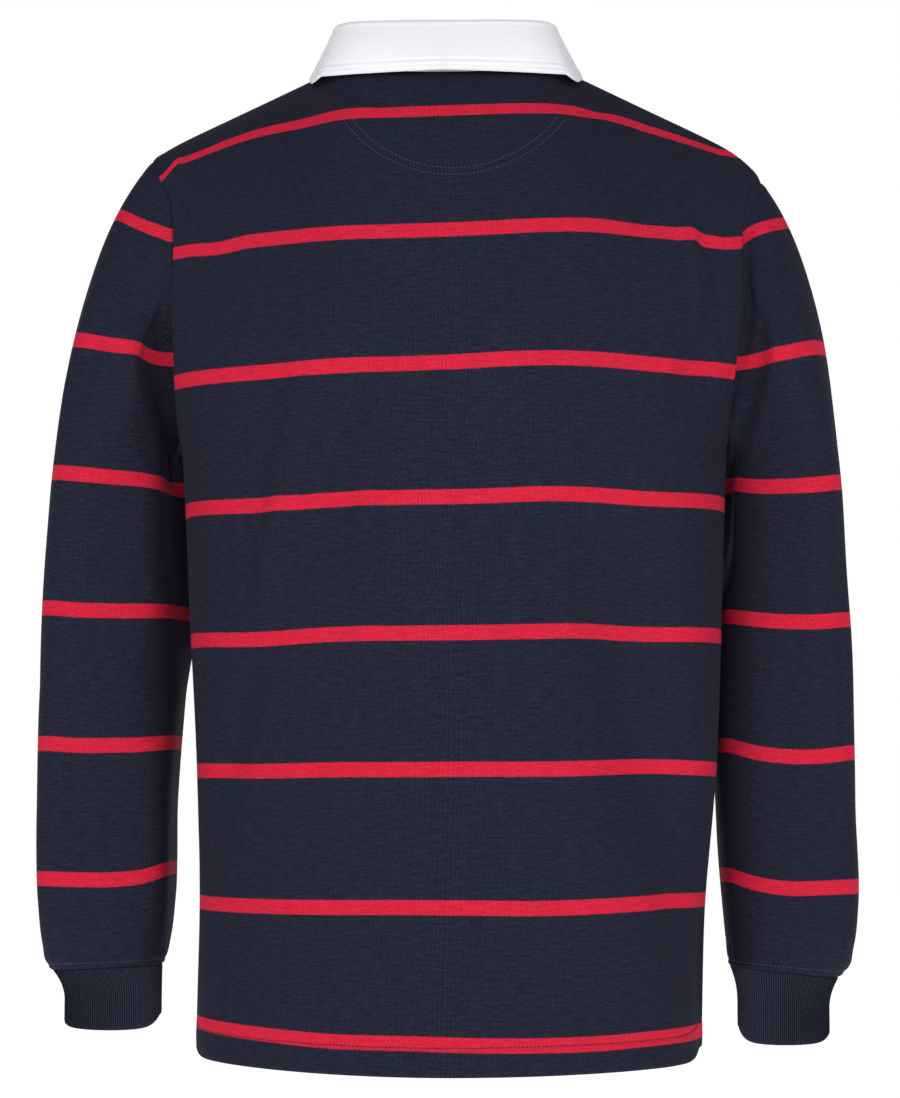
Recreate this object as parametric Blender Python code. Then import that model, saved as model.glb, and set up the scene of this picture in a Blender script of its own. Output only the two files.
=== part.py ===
"""Long-sleeved rugby shirt in the hollow form of a worn garment, as thin cloth walls.

Units are metres and +Z is up. The front faces -Y and the wearer's left is +X. The origin lies
between the shoulders at the base of the neck, where the wearer carries the shirt.

Front and back are read through two numbers: across, from 0 at the left side seam to 1 at the
right one, and level, from -1 at the hem over 0 at the underarm to 1 at shoulder and neckline.
"""

import bmesh
import bpy
import numpy as np

BACK, FRONT = 1, -1
LEFT, RIGHT = 1, -1

# Cloth
JERSEY = 0.0016
HEM_CLOTH = 0.0030
CUFF_CLOTH = 0.0018
COLLAR_CLOTH = 0.0020
PATCH_CLOTH = 0.0010
PLACKET_CLOTH = 0.0015
SEAM_GAP = 0.0003

# Body: height, half width, half depth, centre to the left
UNDERARM = -0.285
HEM = -0.7590
HEM_SIDE_RISE = {LEFT: 0.0078, RIGHT: 0.0050}
HEM_POWER = 1.5
HEM_BAND = 0.023
HEM_STEP_LEVELS = 0.002
SECTION_POWER = 2 / 2.3
BODY = (
    (-0.765, 0.1948, 0.1360, 0.0025),
    (-0.720, 0.1950, 0.1360, 0.0017),
    (-0.635, 0.1957, 0.1365, -0.0006),
    (-0.535, 0.2008, 0.1370, -0.0040),
    (-0.400, 0.2066, 0.1375, -0.0042),
    (-0.325, 0.2105, 0.1380, -0.0046),
    (-0.285, 0.2135, 0.1380, -0.0050),
)

# Shoulders and neck
SHOULDER_TIP = {LEFT: (0.2335, 0.0030, -0.0570), RIGHT: (-0.2440, 0.0030, -0.0774)}
SHOULDER_CROWN = {LEFT: 0.0066, RIGHT: 0.0165}
CROWN_POWER = 12
SHOULDER_SPAN = 0.21
SHOULDER_SHARE = 0.30
NECK_HALF_WIDTH = 0.0900
NECK_MIDDLE = 0.0030
NECK_SIDE_HEIGHT = 0.0155
NECK_DEPTH = {BACK: 0.0680, FRONT: 0.0880}
NECK_MIDDLE_HEIGHT = {BACK: -0.0013, FRONT: -0.0640}
NECK_POWER = {BACK: 2 / 2.7, FRONT: 2 / 2.1}
RISE_POWERS = (1.4, 2.3, 1.0)
SIDE_FADE = 3
LOW_FADE = 6

# Armholes: share of the way up, distance out from the middle
ARMHOLE_DEPTH = {BACK: 0.052, FRONT: 0.062}
ARMHOLE_POWER = 0.9
ARMHOLE = {
    LEFT: (
        (0.00, 0.2085),
        (0.25, 0.2100),
        (0.50, 0.2120),
        (0.70, 0.2130),
        (0.85, 0.2185),
        (1.00, 0.2335),
    ),
    RIGHT: (
        (0.00, 0.2185),
        (0.25, 0.2210),
        (0.50, 0.2250),
        (0.70, 0.2270),
        (0.85, 0.2320),
        (1.00, 0.2440),
    ),
}

# Sleeves: height, centre out, centre back, half width, half depth, how far the outer side
# lies behind the centre and the inner side before it
SLEEVE_TOP = -0.330
CAP_LEAVE = np.array([0.36, 0.0, -0.78])
CAP_SPREAD = {LEFT: np.array([0.21, 0.12, 0.14]), RIGHT: np.array([0.14, 0.12, 0.14])}
FOLD_START = 0.25
SLEEVE = {
    LEFT: (
        (-0.690, 0.2682, -0.042, 0.0402, 0.0355, 0.000),
        (-0.684, 0.2710, -0.042, 0.0455, 0.0410, 0.001),
        (-0.670, 0.2722, -0.040, 0.0495, 0.0465, 0.004),
        (-0.635, 0.2720, -0.038, 0.0525, 0.0510, 0.006),
        (-0.555, 0.2720, -0.034, 0.0540, 0.0550, 0.009),
        (-0.480, 0.2680, -0.030, 0.0553, 0.0590, 0.012),
        (-0.400, 0.2600, -0.027, 0.0595, 0.0640, 0.016),
        (-0.330, 0.2580, -0.024, 0.0550, 0.0670, 0.018),
    ),
    RIGHT: (
        (-0.695, 0.2590, -0.042, 0.0380, 0.0370, 0.000),
        (-0.688, 0.2618, -0.042, 0.0440, 0.0420, 0.001),
        (-0.672, 0.2632, -0.041, 0.0490, 0.0475, 0.004),
        (-0.640, 0.2640, -0.039, 0.0522, 0.0520, 0.006),
        (-0.555, 0.2600, -0.036, 0.0538, 0.0560, 0.009),
        (-0.480, 0.2592, -0.033, 0.0535, 0.0600, 0.012),
        (-0.400, 0.2590, -0.032, 0.0500, 0.0660, 0.018),
        (-0.330, 0.2588, -0.031, 0.0452, 0.0700, 0.021),
    ),
}

# Cuffs: length, and how much lower the back and the outer side hang
CUFF_LENGTH = {LEFT: 0.039, RIGHT: 0.048}
CUFF_TAPER = 0.0010
CUFF_BACK_DROP = 0.005
CUFF_OUT_DROP = {LEFT: 0.006, RIGHT: 0.003}
RIBS = 144
RIB_HEIGHT = 0.0005
POINTS_PER_INNER_SIDE = 8

# Collar: angle from the middle front, then left, back and up of the leaf's lower edge
STAND_TOP_HALF_WIDTH = 0.0850
STAND_TOP_DEPTH = {BACK: 0.0600, FRONT: 0.0830}
STAND_TOP_HEIGHT = {BACK: 0.0366, FRONT: -0.0340}
STAND_TOP_SIDE = 0.0390
FOLD_RADIUS = 0.0033
LEAF_BULGE = 0.0018
LEAF_EDGE = (
    (0, 0.0500, -0.1330, -0.1160),
    (25, 0.0750, -0.1280, -0.0980),
    (50, 0.1030, -0.0930, -0.0500),
    (72, 0.1090, -0.0380, -0.0010),
    (90, 0.1060, 0.0030, 0.0120),
    (110, 0.1000, 0.0360, 0.0085),
    (135, 0.0820, 0.0640, 0.0025),
    (160, 0.0450, 0.0790, -0.0015),
    (180, 0.0000, 0.0820, -0.0020),
)
LEAF_START = 4.0
STAND_START = 1.5

# Half-moon patch inside the back neck
PATCH_HALF_WIDTH = 0.0930
PATCH_TOP_HALF_WIDTH = 0.0820
PATCH_DEPTH = 0.0800
PATCH_CORNER_HEIGHT = -0.0150
PATCH_TOP_LEVEL = 0.985
PATCH_POWER = 0.6
PATCH_CLEARANCE = 0.0010

# Placket and buttons
PLACKET_HALF_WIDTH = 0.0185
PLACKET_TOP_LEVEL = 0.975
PLACKET_BOTTOM_LEVEL = 0.24
BUTTON_HEIGHTS = (-0.0980, -0.1500, -0.2020)
BUTTON_RADIUS = 0.0058
BUTTON_THICKNESS = 0.0026
BUTTON_BEVEL = 0.0008

# Drape folds of the panels: side, middle across, middle height, half width, half length, depth
PANEL_FOLDS = (
    (BACK, 0.160, -0.300, 0.016, 0.210, 0.0045),
    (BACK, -0.190, -0.190, 0.018, 0.110, -0.0050),
    (BACK, -0.155, -0.520, 0.020, 0.180, 0.0035),
    (BACK, 0.110, -0.600, 0.022, 0.140, -0.0030),
    (BACK, -0.060, -0.640, 0.024, 0.120, 0.0025),
    (FRONT, 0.140, -0.330, 0.020, 0.200, 0.0045),
    (FRONT, -0.150, -0.380, 0.022, 0.220, 0.0045),
    (FRONT, 0.060, -0.600, 0.024, 0.140, -0.0035),
    (FRONT, -0.070, -0.640, 0.022, 0.110, 0.0030),
)

# Folds of the sleeves: turn round from the outer side, middle height, half turn, half length,
# depth
SLEEVE_FOLDS = {
    LEFT: (
        (0.10, -0.200, 0.045, 0.110, 0.0035),
        (0.22, -0.300, 0.050, 0.150, -0.0040),
        (0.80, -0.380, 0.050, 0.150, -0.0040),
        (0.12, -0.560, 0.050, 0.090, -0.0025),
    ),
    RIGHT: (
        (0.06, -0.430, 0.045, 0.150, 0.0035),
        (0.25, -0.330, 0.050, 0.140, -0.0045),
        (0.80, -0.400, 0.050, 0.150, -0.0040),
        (0.14, -0.590, 0.050, 0.080, -0.0025),
    ),
}

# Sides of the facets
BODY_COLUMNS = 30
BODY_ROWS = 9
YOKE_ROWS = 12
NECK_COLUMNS = round((1 - 2 * SHOULDER_SHARE) * BODY_COLUMNS)
CAP_ROWS = 7
ARM_ROWS = 11
COLLAR_COLUMNS = 4 * NECK_COLUMNS
LEAF_ROWS = 4
LEAF_FOLD_ROWS = 4
PATCH_COLUMNS = 20
PATCH_ROWS = 5
PLACKET_COLUMNS = 4
BUTTON_SIDES = 24
ARM_ROW_POWER = 1.6

# Directions and small steps
STEP = 0.002
ROUNDING = 1e-9
NEWTON_STEPS = 12
FOLD_FACING = (1.0, 2.0, 0.0)
SHARP_COSINE, LEVEL_COSINE = -0.2, 0.4
CREASE_ANGLE = np.radians(50)

# Finishes: colour, roughness
NAVY = ((0.021, 0.022, 0.040, 1.0), 0.85)
RIB_NAVY = ((0.019, 0.022, 0.036, 1.0), 0.90)
WHITE = ((0.840, 0.850, 0.880, 1.0), 0.75)
BUTTON_WHITE = ((0.800, 0.800, 0.780, 1.0), 0.45)


def unit(vectors):
    """Vectors at length 1."""
    return vectors / np.linalg.norm(vectors, axis=-1, keepdims=True)


def blend(low, high, share):
    """Straight mix of two arrays of points by an array of shares."""
    return low + (high - low) * np.asarray(share)[..., None]


def hermite(start, end, leave, arrive, share):
    """Cubic from start to end with the given end slopes."""
    s = np.asarray(share)[..., None]
    return (
        start * (2 * s**3 - 3 * s**2 + 1)
        + leave * (s**3 - 2 * s**2 + s)
        + end * (3 * s**2 - 2 * s**3)
        + arrive * (s**3 - s**2)
    )


def along(table, place):
    """A table's other columns at any place of its first one, by a cubic through its rows."""
    rows = np.array(table, float)
    keys, values = rows[:, 0], rows[:, 1:]
    slopes = np.gradient(values, keys, axis=0)
    place = np.asarray(place, float)
    row = np.clip(np.searchsorted(keys, place) - 1, 0, len(keys) - 2)
    span = keys[row + 1] - keys[row]
    ends = slopes[row] * span[..., None], slopes[row + 1] * span[..., None]
    return hermite(values[row], values[row + 1], *ends, (place - keys[row]) / span)


def bump(distance):
    """Smooth hill: 1 at distance 0, level at distance 1 and beyond."""
    return np.clip(1 - distance**2, 0, None) ** 2


def oval(angle, power):
    """Cosine and sine of an angle, squared off for a power under 1."""
    cosine, sine = np.cos(angle), np.sin(angle)
    return (
        np.sign(cosine) * np.abs(cosine) ** power,
        np.sign(sine) * np.abs(sine) ** power,
    )


# ---- front and back


def body_section(side, across, height):
    """Point of a body panel between hem and underarm."""
    half_width, half_depth, middle = np.moveaxis(along(BODY, height), -1, 0)
    cosine, sine = oval(np.pi * across, SECTION_POWER)
    x = middle + half_width * cosine
    return np.stack([x, side * half_depth * sine, height + 0 * x], -1)


def neck_curve(side, angle):
    """Point of the neckline; the angle runs from 0 at the left to pi at the right."""
    cosine, sine = oval(angle, NECK_POWER[side])
    drop = NECK_MIDDLE_HEIGHT[side] - NECK_SIDE_HEIGHT
    height = NECK_SIDE_HEIGHT + drop * np.sin(angle) ** 2
    x = NECK_MIDDLE + NECK_HALF_WIDTH * cosine
    return np.stack([x, side * NECK_DEPTH[side] * sine, height], -1)


def top_edge(side, across):
    """Point of the panel's top: shoulder seam, neckline, shoulder seam."""
    neck = (across - SHOULDER_SHARE) / (1 - 2 * SHOULDER_SHARE)
    point = neck_curve(side, np.pi * np.clip(neck, 0, 1))
    for arm, share in (
        (LEFT, across / SHOULDER_SHARE),
        (RIGHT, (1 - across) / SHOULDER_SHARE),
    ):
        tip, neck_point = np.array(SHOULDER_TIP[arm]), neck_curve(side, np.pi * (arm == RIGHT))
        share = np.clip(share, 0, 1)
        seam = blend(tip, neck_point, share)
        seam[..., 2] += SHOULDER_CROWN[arm] * (1 - (1 - share) ** CROWN_POWER) * (1 - share)
        point = np.where((share < 1)[..., None], seam, point)
    return point


def armhole(side, arm, rise):
    """Point of an armhole's front or back half; rise runs from the underarm to the tip."""
    out = along(ARMHOLE[arm], rise)[..., 0]
    tip = SHOULDER_TIP[arm]
    height = UNDERARM + (tip[2] - UNDERARM) * (1 - np.cos(np.pi * rise)) / 2
    depth = tip[1] * rise + side * ARMHOLE_DEPTH[side] * np.sin(np.pi * rise) ** ARMHOLE_POWER
    return np.stack([arm * out, depth, height], -1)


def yoke(side, across, rise):
    """Point of a panel above the underarm, spanned between underarm, armholes and top edge."""
    powers = np.stack([rise**power for power in RISE_POWERS], -1)

    def spanned(at):
        low = body_section(side, at, UNDERARM + 0 * rise)
        return low + (top_edge(side, at) - low) * powers

    point = spanned(across)
    for arm, end in ((LEFT, 0.0), (RIGHT, 1.0)):
        miss = armhole(side, arm, rise) - spanned(end + 0 * across)
        fade = (1 - np.abs(across - end)) ** (SIDE_FADE + LOW_FADE * (1 - rise) ** 2)
        point = point + miss * fade[..., None]
    return point


def hem_height(across):
    """The hem rises a little towards the side seams."""
    rise = np.where(across < 0.5, HEM_SIDE_RISE[LEFT], HEM_SIDE_RISE[RIGHT])
    return HEM + rise * np.abs(np.cos(np.pi * across)) ** HEM_POWER


def fold_depth(side, point):
    """How far the drape folds push a panel's point out."""
    depth = 0 * point[..., 0]
    for fold_side, x, z, half_width, half_length, height in PANEL_FOLDS:
        if fold_side == side:
            hill = bump((point[..., 0] - x) / half_width)
            depth = depth + height * hill * bump((point[..., 2] - z) / half_length)
    return depth


def panel(side, across, level):
    """Point of the front or back panel's outer face."""
    across, level = np.broadcast_arrays(np.asarray(across, float), level)
    below, above = np.clip(-level, 0, 1), np.clip(level, 0, 1)
    height = UNDERARM + (hem_height(across) - UNDERARM) * below
    point = np.where(
        (level < 0)[..., None],
        body_section(side, across, height),
        yoke(side, across, above),
    )
    outward = unit(point * FOLD_FACING + (0, side * ROUNDING, 0))
    return point + outward * fold_depth(side, point)[..., None]


def panel_normal(side, across, level):
    """Direction out of a panel's outer face."""
    across, level = np.broadcast_arrays(np.asarray(across, float), level)
    left, right = np.clip(across - STEP, 0, 1), np.clip(across + STEP, 0, 1)
    down, up = np.clip(level - STEP, -1, 1), np.clip(level + STEP, -1, 1)
    rightwards = panel(side, right, level) - panel(side, left, level)
    upwards = panel(side, across, up) - panel(side, across, down)
    return side * unit(np.cross(rightwards, upwards))


def panel_place(side, x, z):
    """Across and level of the panel's point at x and z, by Newton's steps."""
    across, level = 0.5 - x / (2 * SHOULDER_SPAN), 1 - (NECK_SIDE_HEIGHT - z) / -UNDERARM
    for _ in range(NEWTON_STEPS):
        across, level = np.clip(across, STEP, 1 - STEP), np.clip(level, STEP - 1, 1 - STEP)
        here = panel(side, across, level)
        d_across = (panel(side, across + STEP, level) - here) / STEP
        d_level = (panel(side, across, level + STEP) - here) / STEP
        need_x, need_z = x - here[..., 0], z - here[..., 2]
        scale = d_across[..., 0] * d_level[..., 2] - d_across[..., 2] * d_level[..., 0]
        across = across + (need_x * d_level[..., 2] - need_z * d_level[..., 0]) / scale
        level = level + (need_z * d_across[..., 0] - need_x * d_across[..., 2]) / scale
    return np.clip(across, 0, 1), np.clip(level, -1, 1)


# ---- sleeves


def sleeve_section(arm, turn, height):
    """Point of a sleeve's ring; turn runs from 0 at the outer side round the back."""
    columns = np.moveaxis(along(SLEEVE[arm], height), -1, 0)
    out, back, half_width, half_depth, lean = columns
    cosine, sine = np.cos(2 * np.pi * turn), np.sin(2 * np.pi * turn)
    x = arm * (out + half_width * cosine)
    return np.stack([x, back + half_depth * sine + lean * cosine, height + 0 * x], -1)


def sleeve_seam(arm, turn):
    """Point of the armhole at a turn, and how far up and on which side it lies."""
    turn = np.mod(turn, 1)
    rise = np.abs(1 - 2 * turn)
    back = (turn <= 0.5)[..., None]
    return np.where(back, armhole(BACK, arm, rise), armhole(FRONT, arm, rise))


def sleeve(arm, turn, drop):
    """Point of a sleeve: drop 0 to 1 is the cap, 1 to 2 the arm down to the cuff."""
    turn, drop = np.broadcast_arrays(np.asarray(turn, float), drop)
    cosine, sine = np.cos(2 * np.pi * turn), np.sin(2 * np.pi * turn)
    start, end = sleeve_seam(arm, turn), sleeve_section(arm, turn, SLEEVE_TOP + 0 * turn)
    length = np.linalg.norm(end - start, axis=-1)[..., None]
    spread = np.stack([arm * cosine, sine, cosine], -1)
    leave = CAP_LEAVE * (arm, 1, 1) + CAP_SPREAD[arm] * spread
    arrive = sleeve_section(arm, turn, SLEEVE_TOP + 0 * turn - STEP) - end
    cap = hermite(start, end, leave * length, unit(arrive) * length, np.clip(drop, 0, 1))
    bottom = SLEEVE[arm][0][0]
    height = SLEEVE_TOP + (bottom - SLEEVE_TOP) * np.clip(drop - 1, 0, 1)
    point = np.where((drop < 1)[..., None], cap, sleeve_section(arm, turn, height))
    depth = 0 * turn
    for middle, z, half_turn, half_length, fold in SLEEVE_FOLDS[arm]:
        hill = bump((np.mod(turn - middle + 0.5, 1) - 0.5) / half_turn)
        depth = depth + fold * hill * bump((point[..., 2] - z) / half_length)
    outward = np.stack([arm * cosine, sine, 0 * sine], -1)
    return point + outward * (depth * np.clip(drop / FOLD_START, 0, 1))[..., None]


def sleeve_normal(arm, turn, drop):
    """Direction out of a sleeve's outer face."""
    turn, drop = np.broadcast_arrays(np.asarray(turn, float), drop)
    up, down = np.clip(drop - STEP, 0, 2), np.clip(drop + STEP, 0, 2)
    downwards = sleeve(arm, turn, down) - sleeve(arm, turn, up)
    round_back = sleeve(arm, turn + STEP, drop) - sleeve(arm, turn - STEP, drop)
    return arm * unit(np.cross(downwards, round_back))


def levelness(own, other):
    """1 where two directions nearly agree, 0 past a sharp fold."""
    return np.clip(((own * other).sum(-1) - SHARP_COSINE) / (LEVEL_COSINE - SHARP_COSINE), 0, 1)


def mitre(own, other):
    """Direction shared by two walls that meet nearly level, their own one past a sharp fold."""
    return unit(own + other * levelness(own, other)[..., None])


# ---- walls


def quads(rows, columns, closed):
    """Faces of a grid of points, row by row."""
    across = range(columns if closed else columns - 1)
    return [
        (
            row * columns + column,
            row * columns + (column + 1) % columns,
            (row + 1) * columns + (column + 1) % columns,
            (row + 1) * columns + column,
        )
        for row in range(rows - 1)
        for column in across
    ]


def wall(name, outer, inner, finish, closed=False):
    """Object between an outer and an inner grid of the same size; closed joins its columns."""
    rows, columns = outer.shape[:2]
    count = rows * columns
    faces = quads(rows, columns, closed)
    faces += [tuple(count + corner for corner in reversed(face)) for face in faces]
    rims = [[row * columns + column for column in range(columns)] for row in (0, rows - 1)]
    if closed:
        rims = [rim + rim[:1] for rim in rims]
    else:
        rims += [[row * columns + end for row in range(rows)] for end in (0, columns - 1)]
    for rim in rims:
        faces += [(a, b, b + count, a + count) for a, b in zip(rim, rim[1:])]
    points = np.concatenate([outer.reshape(-1, 3), inner.reshape(-1, 3)])
    return make_object(name, points, faces, finish)


def make_object(name, points, faces, finish):
    """Mesh object with its faces pointing out and its own material."""
    mesh = bpy.data.meshes.new(name)
    mesh.from_pydata(points.tolist(), [], faces)
    shape = bmesh.new()
    shape.from_mesh(mesh)
    bmesh.ops.recalc_face_normals(shape, faces=shape.faces)
    shape.to_mesh(mesh)
    shape.free()
    mesh.shade_smooth()
    mesh.set_sharp_from_angle(angle=CREASE_ANGLE)
    obj = bpy.data.objects.new(name, mesh)
    obj.data.materials.append(make_material(name, *finish))
    bpy.context.scene.collection.objects.link(obj)
    return obj


def make_material(name, colour, roughness):
    """Plain cloth or button material."""
    material = bpy.data.materials.new(name)
    material.use_nodes = True
    shader = material.node_tree.nodes["Principled BSDF"]
    shader.inputs["Base Color"].default_value = colour
    shader.inputs["Roughness"].default_value = roughness
    shader.inputs["Metallic"].default_value = 0.0
    return material


# ---- pieces


def body_levels():
    """Levels of a panel's rows, with one row at the top of the hem band."""
    band = HEM_BAND / (UNDERARM - HEM)
    lower = np.linspace(-1 + band, 0, BODY_ROWS)
    upper = np.linspace(0, 1, YOKE_ROWS + 1)[1:]
    return np.array([-1, -1 + band - HEM_STEP_LEVELS, *lower, *upper])


def panel_faces(side):
    """A panel's outer and inner grids, with the hem turned up as a thicker band."""
    levels = body_levels()
    across = np.linspace(0, 1, BODY_COLUMNS + 1)
    across, level = np.meshgrid(across, levels)
    outer, normal = panel(side, across, level), panel_normal(side, across, level)
    partner = panel_normal(-side, across, level)
    shoulder = np.minimum(across, 1 - across) <= SHOULDER_SHARE + ROUNDING
    seam = (level <= 0) & ((across == 0) | (across == 1)) | (level == 1) & shoulder
    normal = np.where(seam[..., None], mitre(normal, partner), normal)
    for arm, column in ((LEFT, 0), (RIGHT, -1)):
        rise = levels[levels > 0]
        turn = (1 - rise) / 2 if side == BACK else (1 + rise) / 2
        rows = levels > 0
        normal[rows, column] = mitre(normal[rows, column], sleeve_normal(arm, turn, 0.0))
    outer[..., 1] += np.where(seam, side * SEAM_GAP / 2, 0)
    cloth = np.where(level < levels[2], HEM_CLOTH, JERSEY)[..., None]
    return outer, outer - normal * cloth


def on_grid(grid, across, level):
    """Points on the facets of a panel's grid."""
    row = np.interp(level, body_levels(), np.arange(len(grid)))
    column = across * BODY_COLUMNS
    low_row = np.clip(row.astype(int), 0, len(grid) - 2)
    low_column = np.clip(column.astype(int), 0, BODY_COLUMNS - 1)
    low, high = (
        blend(grid[at, low_column], grid[at, low_column + 1], column - low_column)
        for at in (low_row, low_row + 1)
    )
    return blend(low, high, row - low_row)


def make_sleeve(name, arm):
    """Sleeve from the armhole to the cuff seam."""
    turn = np.arange(2 * YOKE_ROWS) / (2 * YOKE_ROWS)
    arm_rows = 2 - (1 - np.arange(1, ARM_ROWS + 1) / ARM_ROWS) ** ARM_ROW_POWER
    turn, drop = np.meshgrid(turn, [*np.linspace(0, 1, CAP_ROWS + 1), *arm_rows])
    outer, normal = sleeve(arm, turn, drop), sleeve_normal(arm, turn, drop)
    rise = np.abs(1 - 2 * turn[0])
    column = 0.0 if arm == LEFT else 1.0
    back = (turn[0] <= 0.5)[:, None]
    facing = np.where(
        back, panel_normal(BACK, column, rise), panel_normal(FRONT, column, rise)
    )
    edge = np.where(back, panel(BACK, column, rise), panel(FRONT, column, rise))
    inside = abs(column - STEP)
    edge = edge - np.where(back, panel(BACK, inside, rise), panel(FRONT, inside, rise))
    away = unit(blend(facing, unit(edge), levelness(normal[0], facing)))
    normal[0] = mitre(normal[0], facing)
    outer[0] += away * SEAM_GAP
    return wall(name, outer, outer - normal * JERSEY, NAVY, closed=True)


def make_cuff(name, arm):
    """Cuff with its ribs raised on the outside and a plain inside."""
    top = SLEEVE[arm][0][0]
    turn, share = np.meshgrid(np.arange(2 * RIBS) / (2 * RIBS), (0.0, 1.0))
    cosine, sine = np.cos(2 * np.pi * turn), np.sin(2 * np.pi * turn)
    outer = sleeve_section(arm, turn, top + 0 * turn)
    outward = np.stack([arm * cosine, sine, 0 * turn], -1)
    low = CUFF_LENGTH[arm] + CUFF_BACK_DROP * sine + CUFF_OUT_DROP[arm] * cosine
    outer[..., 2] -= SEAM_GAP + share * low
    outer -= outward * (CUFF_TAPER * share)[..., None]
    inner = (outer - outward * CUFF_CLOTH)[:, ::POINTS_PER_INNER_SIDE]
    outer[:, 1::2] -= outward[:, 1::2] * RIB_HEIGHT
    rows, many, few = 2, 2 * RIBS, inner.shape[1]
    start = rows * many
    faces = quads(rows, many, True)
    faces += [tuple(start + corner for corner in face) for face in quads(rows, few, True)]
    for row in (0, rows - 1):
        for side in range(few):
            first = side * POINTS_PER_INNER_SIDE
            rim = [row * many + (first + i) % many for i in range(POINTS_PER_INNER_SIDE + 1)]
            base = start + row * few
            faces.append(tuple([*rim, base + (side + 1) % few, base + side]))
    points = np.concatenate([outer.reshape(-1, 3), inner.reshape(-1, 3)])
    return make_object(name, points, faces, RIB_NAVY)


def neckline(angle):
    """Point of the neckline at an angle from the middle front, round by the left."""
    turned = angle - np.pi / 2
    front = np.where(angle < np.pi, -turned, 2 * np.pi - turned)
    back = np.clip(turned, 0, np.pi)
    on_back = ((turned >= 0) & (turned <= np.pi))[..., None]
    return np.where(on_back, neck_curve(BACK, back), neck_curve(FRONT, front))


def stand_top(angle):
    """Point of the collar stand's upper rim, on its outer face."""
    cosine, sine = oval(angle - np.pi / 2, NECK_POWER[BACK])
    back = np.clip(sine, 0, 1)
    front = np.clip(-sine, 0, 1)
    depth = STAND_TOP_DEPTH[BACK] * back - STAND_TOP_DEPTH[FRONT] * front
    height = STAND_TOP_SIDE + (STAND_TOP_HEIGHT[BACK] - STAND_TOP_SIDE) * back**2
    height = height + (STAND_TOP_HEIGHT[FRONT] - STAND_TOP_SIDE) * front**2
    return np.stack([NECK_MIDDLE + STAND_TOP_HALF_WIDTH * cosine, depth, height], -1)


def level_normal(curve, angle):
    """Level direction out of a ring round the neck."""
    run = curve(angle + STEP) - curve(angle - STEP)
    return unit(np.stack([run[..., 1], -run[..., 0], 0 * angle], -1))


def collar_angles(start):
    """Angles of the collar's columns, from a start in degrees left of the middle front."""
    angle = np.linspace(0, 2 * np.pi, COLLAR_COLUMNS + 1)
    angle[[0, -1]] += np.radians(start), -np.radians(start)
    return angle


def faceted_neckline(angle):
    """The neckline as the panels' straight facets have it."""
    corners = np.linspace(0, 2 * np.pi, 2 * NECK_COLUMNS + 1)
    points = neckline(corners)
    return np.stack([np.interp(angle, corners, points[:, axis]) for axis in range(3)], -1)


def make_stand(name):
    """Collar stand, a band that rises from the neckline."""
    angle = collar_angles(STAND_START)
    base, top = faceted_neckline(angle) + (0, 0, SEAM_GAP), stand_top(angle)
    outer = np.stack([base, (base + top) / 2, top])
    normal = np.stack([level_normal(neckline, angle)] * 2 + [level_normal(stand_top, angle)])
    return wall(name, outer, outer - normal * COLLAR_CLOTH, WHITE)


def leaf_edge(angle):
    """Point of the collar leaf's lower edge."""
    degrees = np.degrees(angle)
    half = along(LEAF_EDGE, np.minimum(degrees, 360 - degrees))
    half[..., 0] = NECK_MIDDLE + half[..., 0] * np.where(degrees <= 180, 1, -1)
    return half


def make_leaf(name):
    """Collar leaf, folded over the stand's upper rim and down outside it."""
    angle = collar_angles(LEAF_START)
    rim, outward = stand_top(angle), level_normal(stand_top, angle)
    up = np.array([0, 0, 1])
    rows = []
    for turn in np.linspace(0, np.pi, LEAF_FOLD_ROWS + 1):
        out = FOLD_RADIUS * (1 - np.cos(turn)) - COLLAR_CLOTH
        rows.append(rim + outward * out + up * (SEAM_GAP + FOLD_RADIUS * np.sin(turn)))
    fold, edge = rows[-1], leaf_edge(angle)
    for share in np.linspace(0, 1, LEAF_ROWS + 1)[1:]:
        bulge = LEAF_BULGE * np.sin(np.pi * share)
        rows.append(blend(fold, edge, share + 0 * angle) + outward * bulge)
    outer = np.stack(rows)
    columns, lines = np.gradient(outer, axis=1), np.gradient(outer, axis=0)
    normal = unit(np.cross(lines, columns))
    normal[0] = -outward
    return wall(name, outer, outer - normal * COLLAR_CLOTH, WHITE)


def make_patch(name):
    """Half-moon patch on the inside of the back panel, below the neckline."""
    share = np.linspace(-1, 1, PATCH_COLUMNS + 1)
    low_x = PATCH_HALF_WIDTH * share
    low_z = PATCH_CORNER_HEIGHT - PATCH_DEPTH * (1 - share**2) ** PATCH_POWER
    low_across, low_level = panel_place(BACK, low_x, low_z)
    top = np.arccos(np.clip(share * PATCH_TOP_HALF_WIDTH / NECK_HALF_WIDTH, -1, 1))
    top_across = SHOULDER_SHARE + (1 - 2 * SHOULDER_SHARE) * top / np.pi
    rows = np.linspace(0, 1, PATCH_ROWS + 1)[:, None]
    across = low_across + (top_across - low_across) * rows
    level = low_level + (PATCH_TOP_LEVEL - low_level) * rows
    normal = panel_normal(BACK, across, level)
    outer = on_grid(panel_faces(BACK)[1], across, level) - normal * PATCH_CLEARANCE
    return wall(name, outer, outer - normal * PATCH_CLOTH, NAVY)


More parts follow.
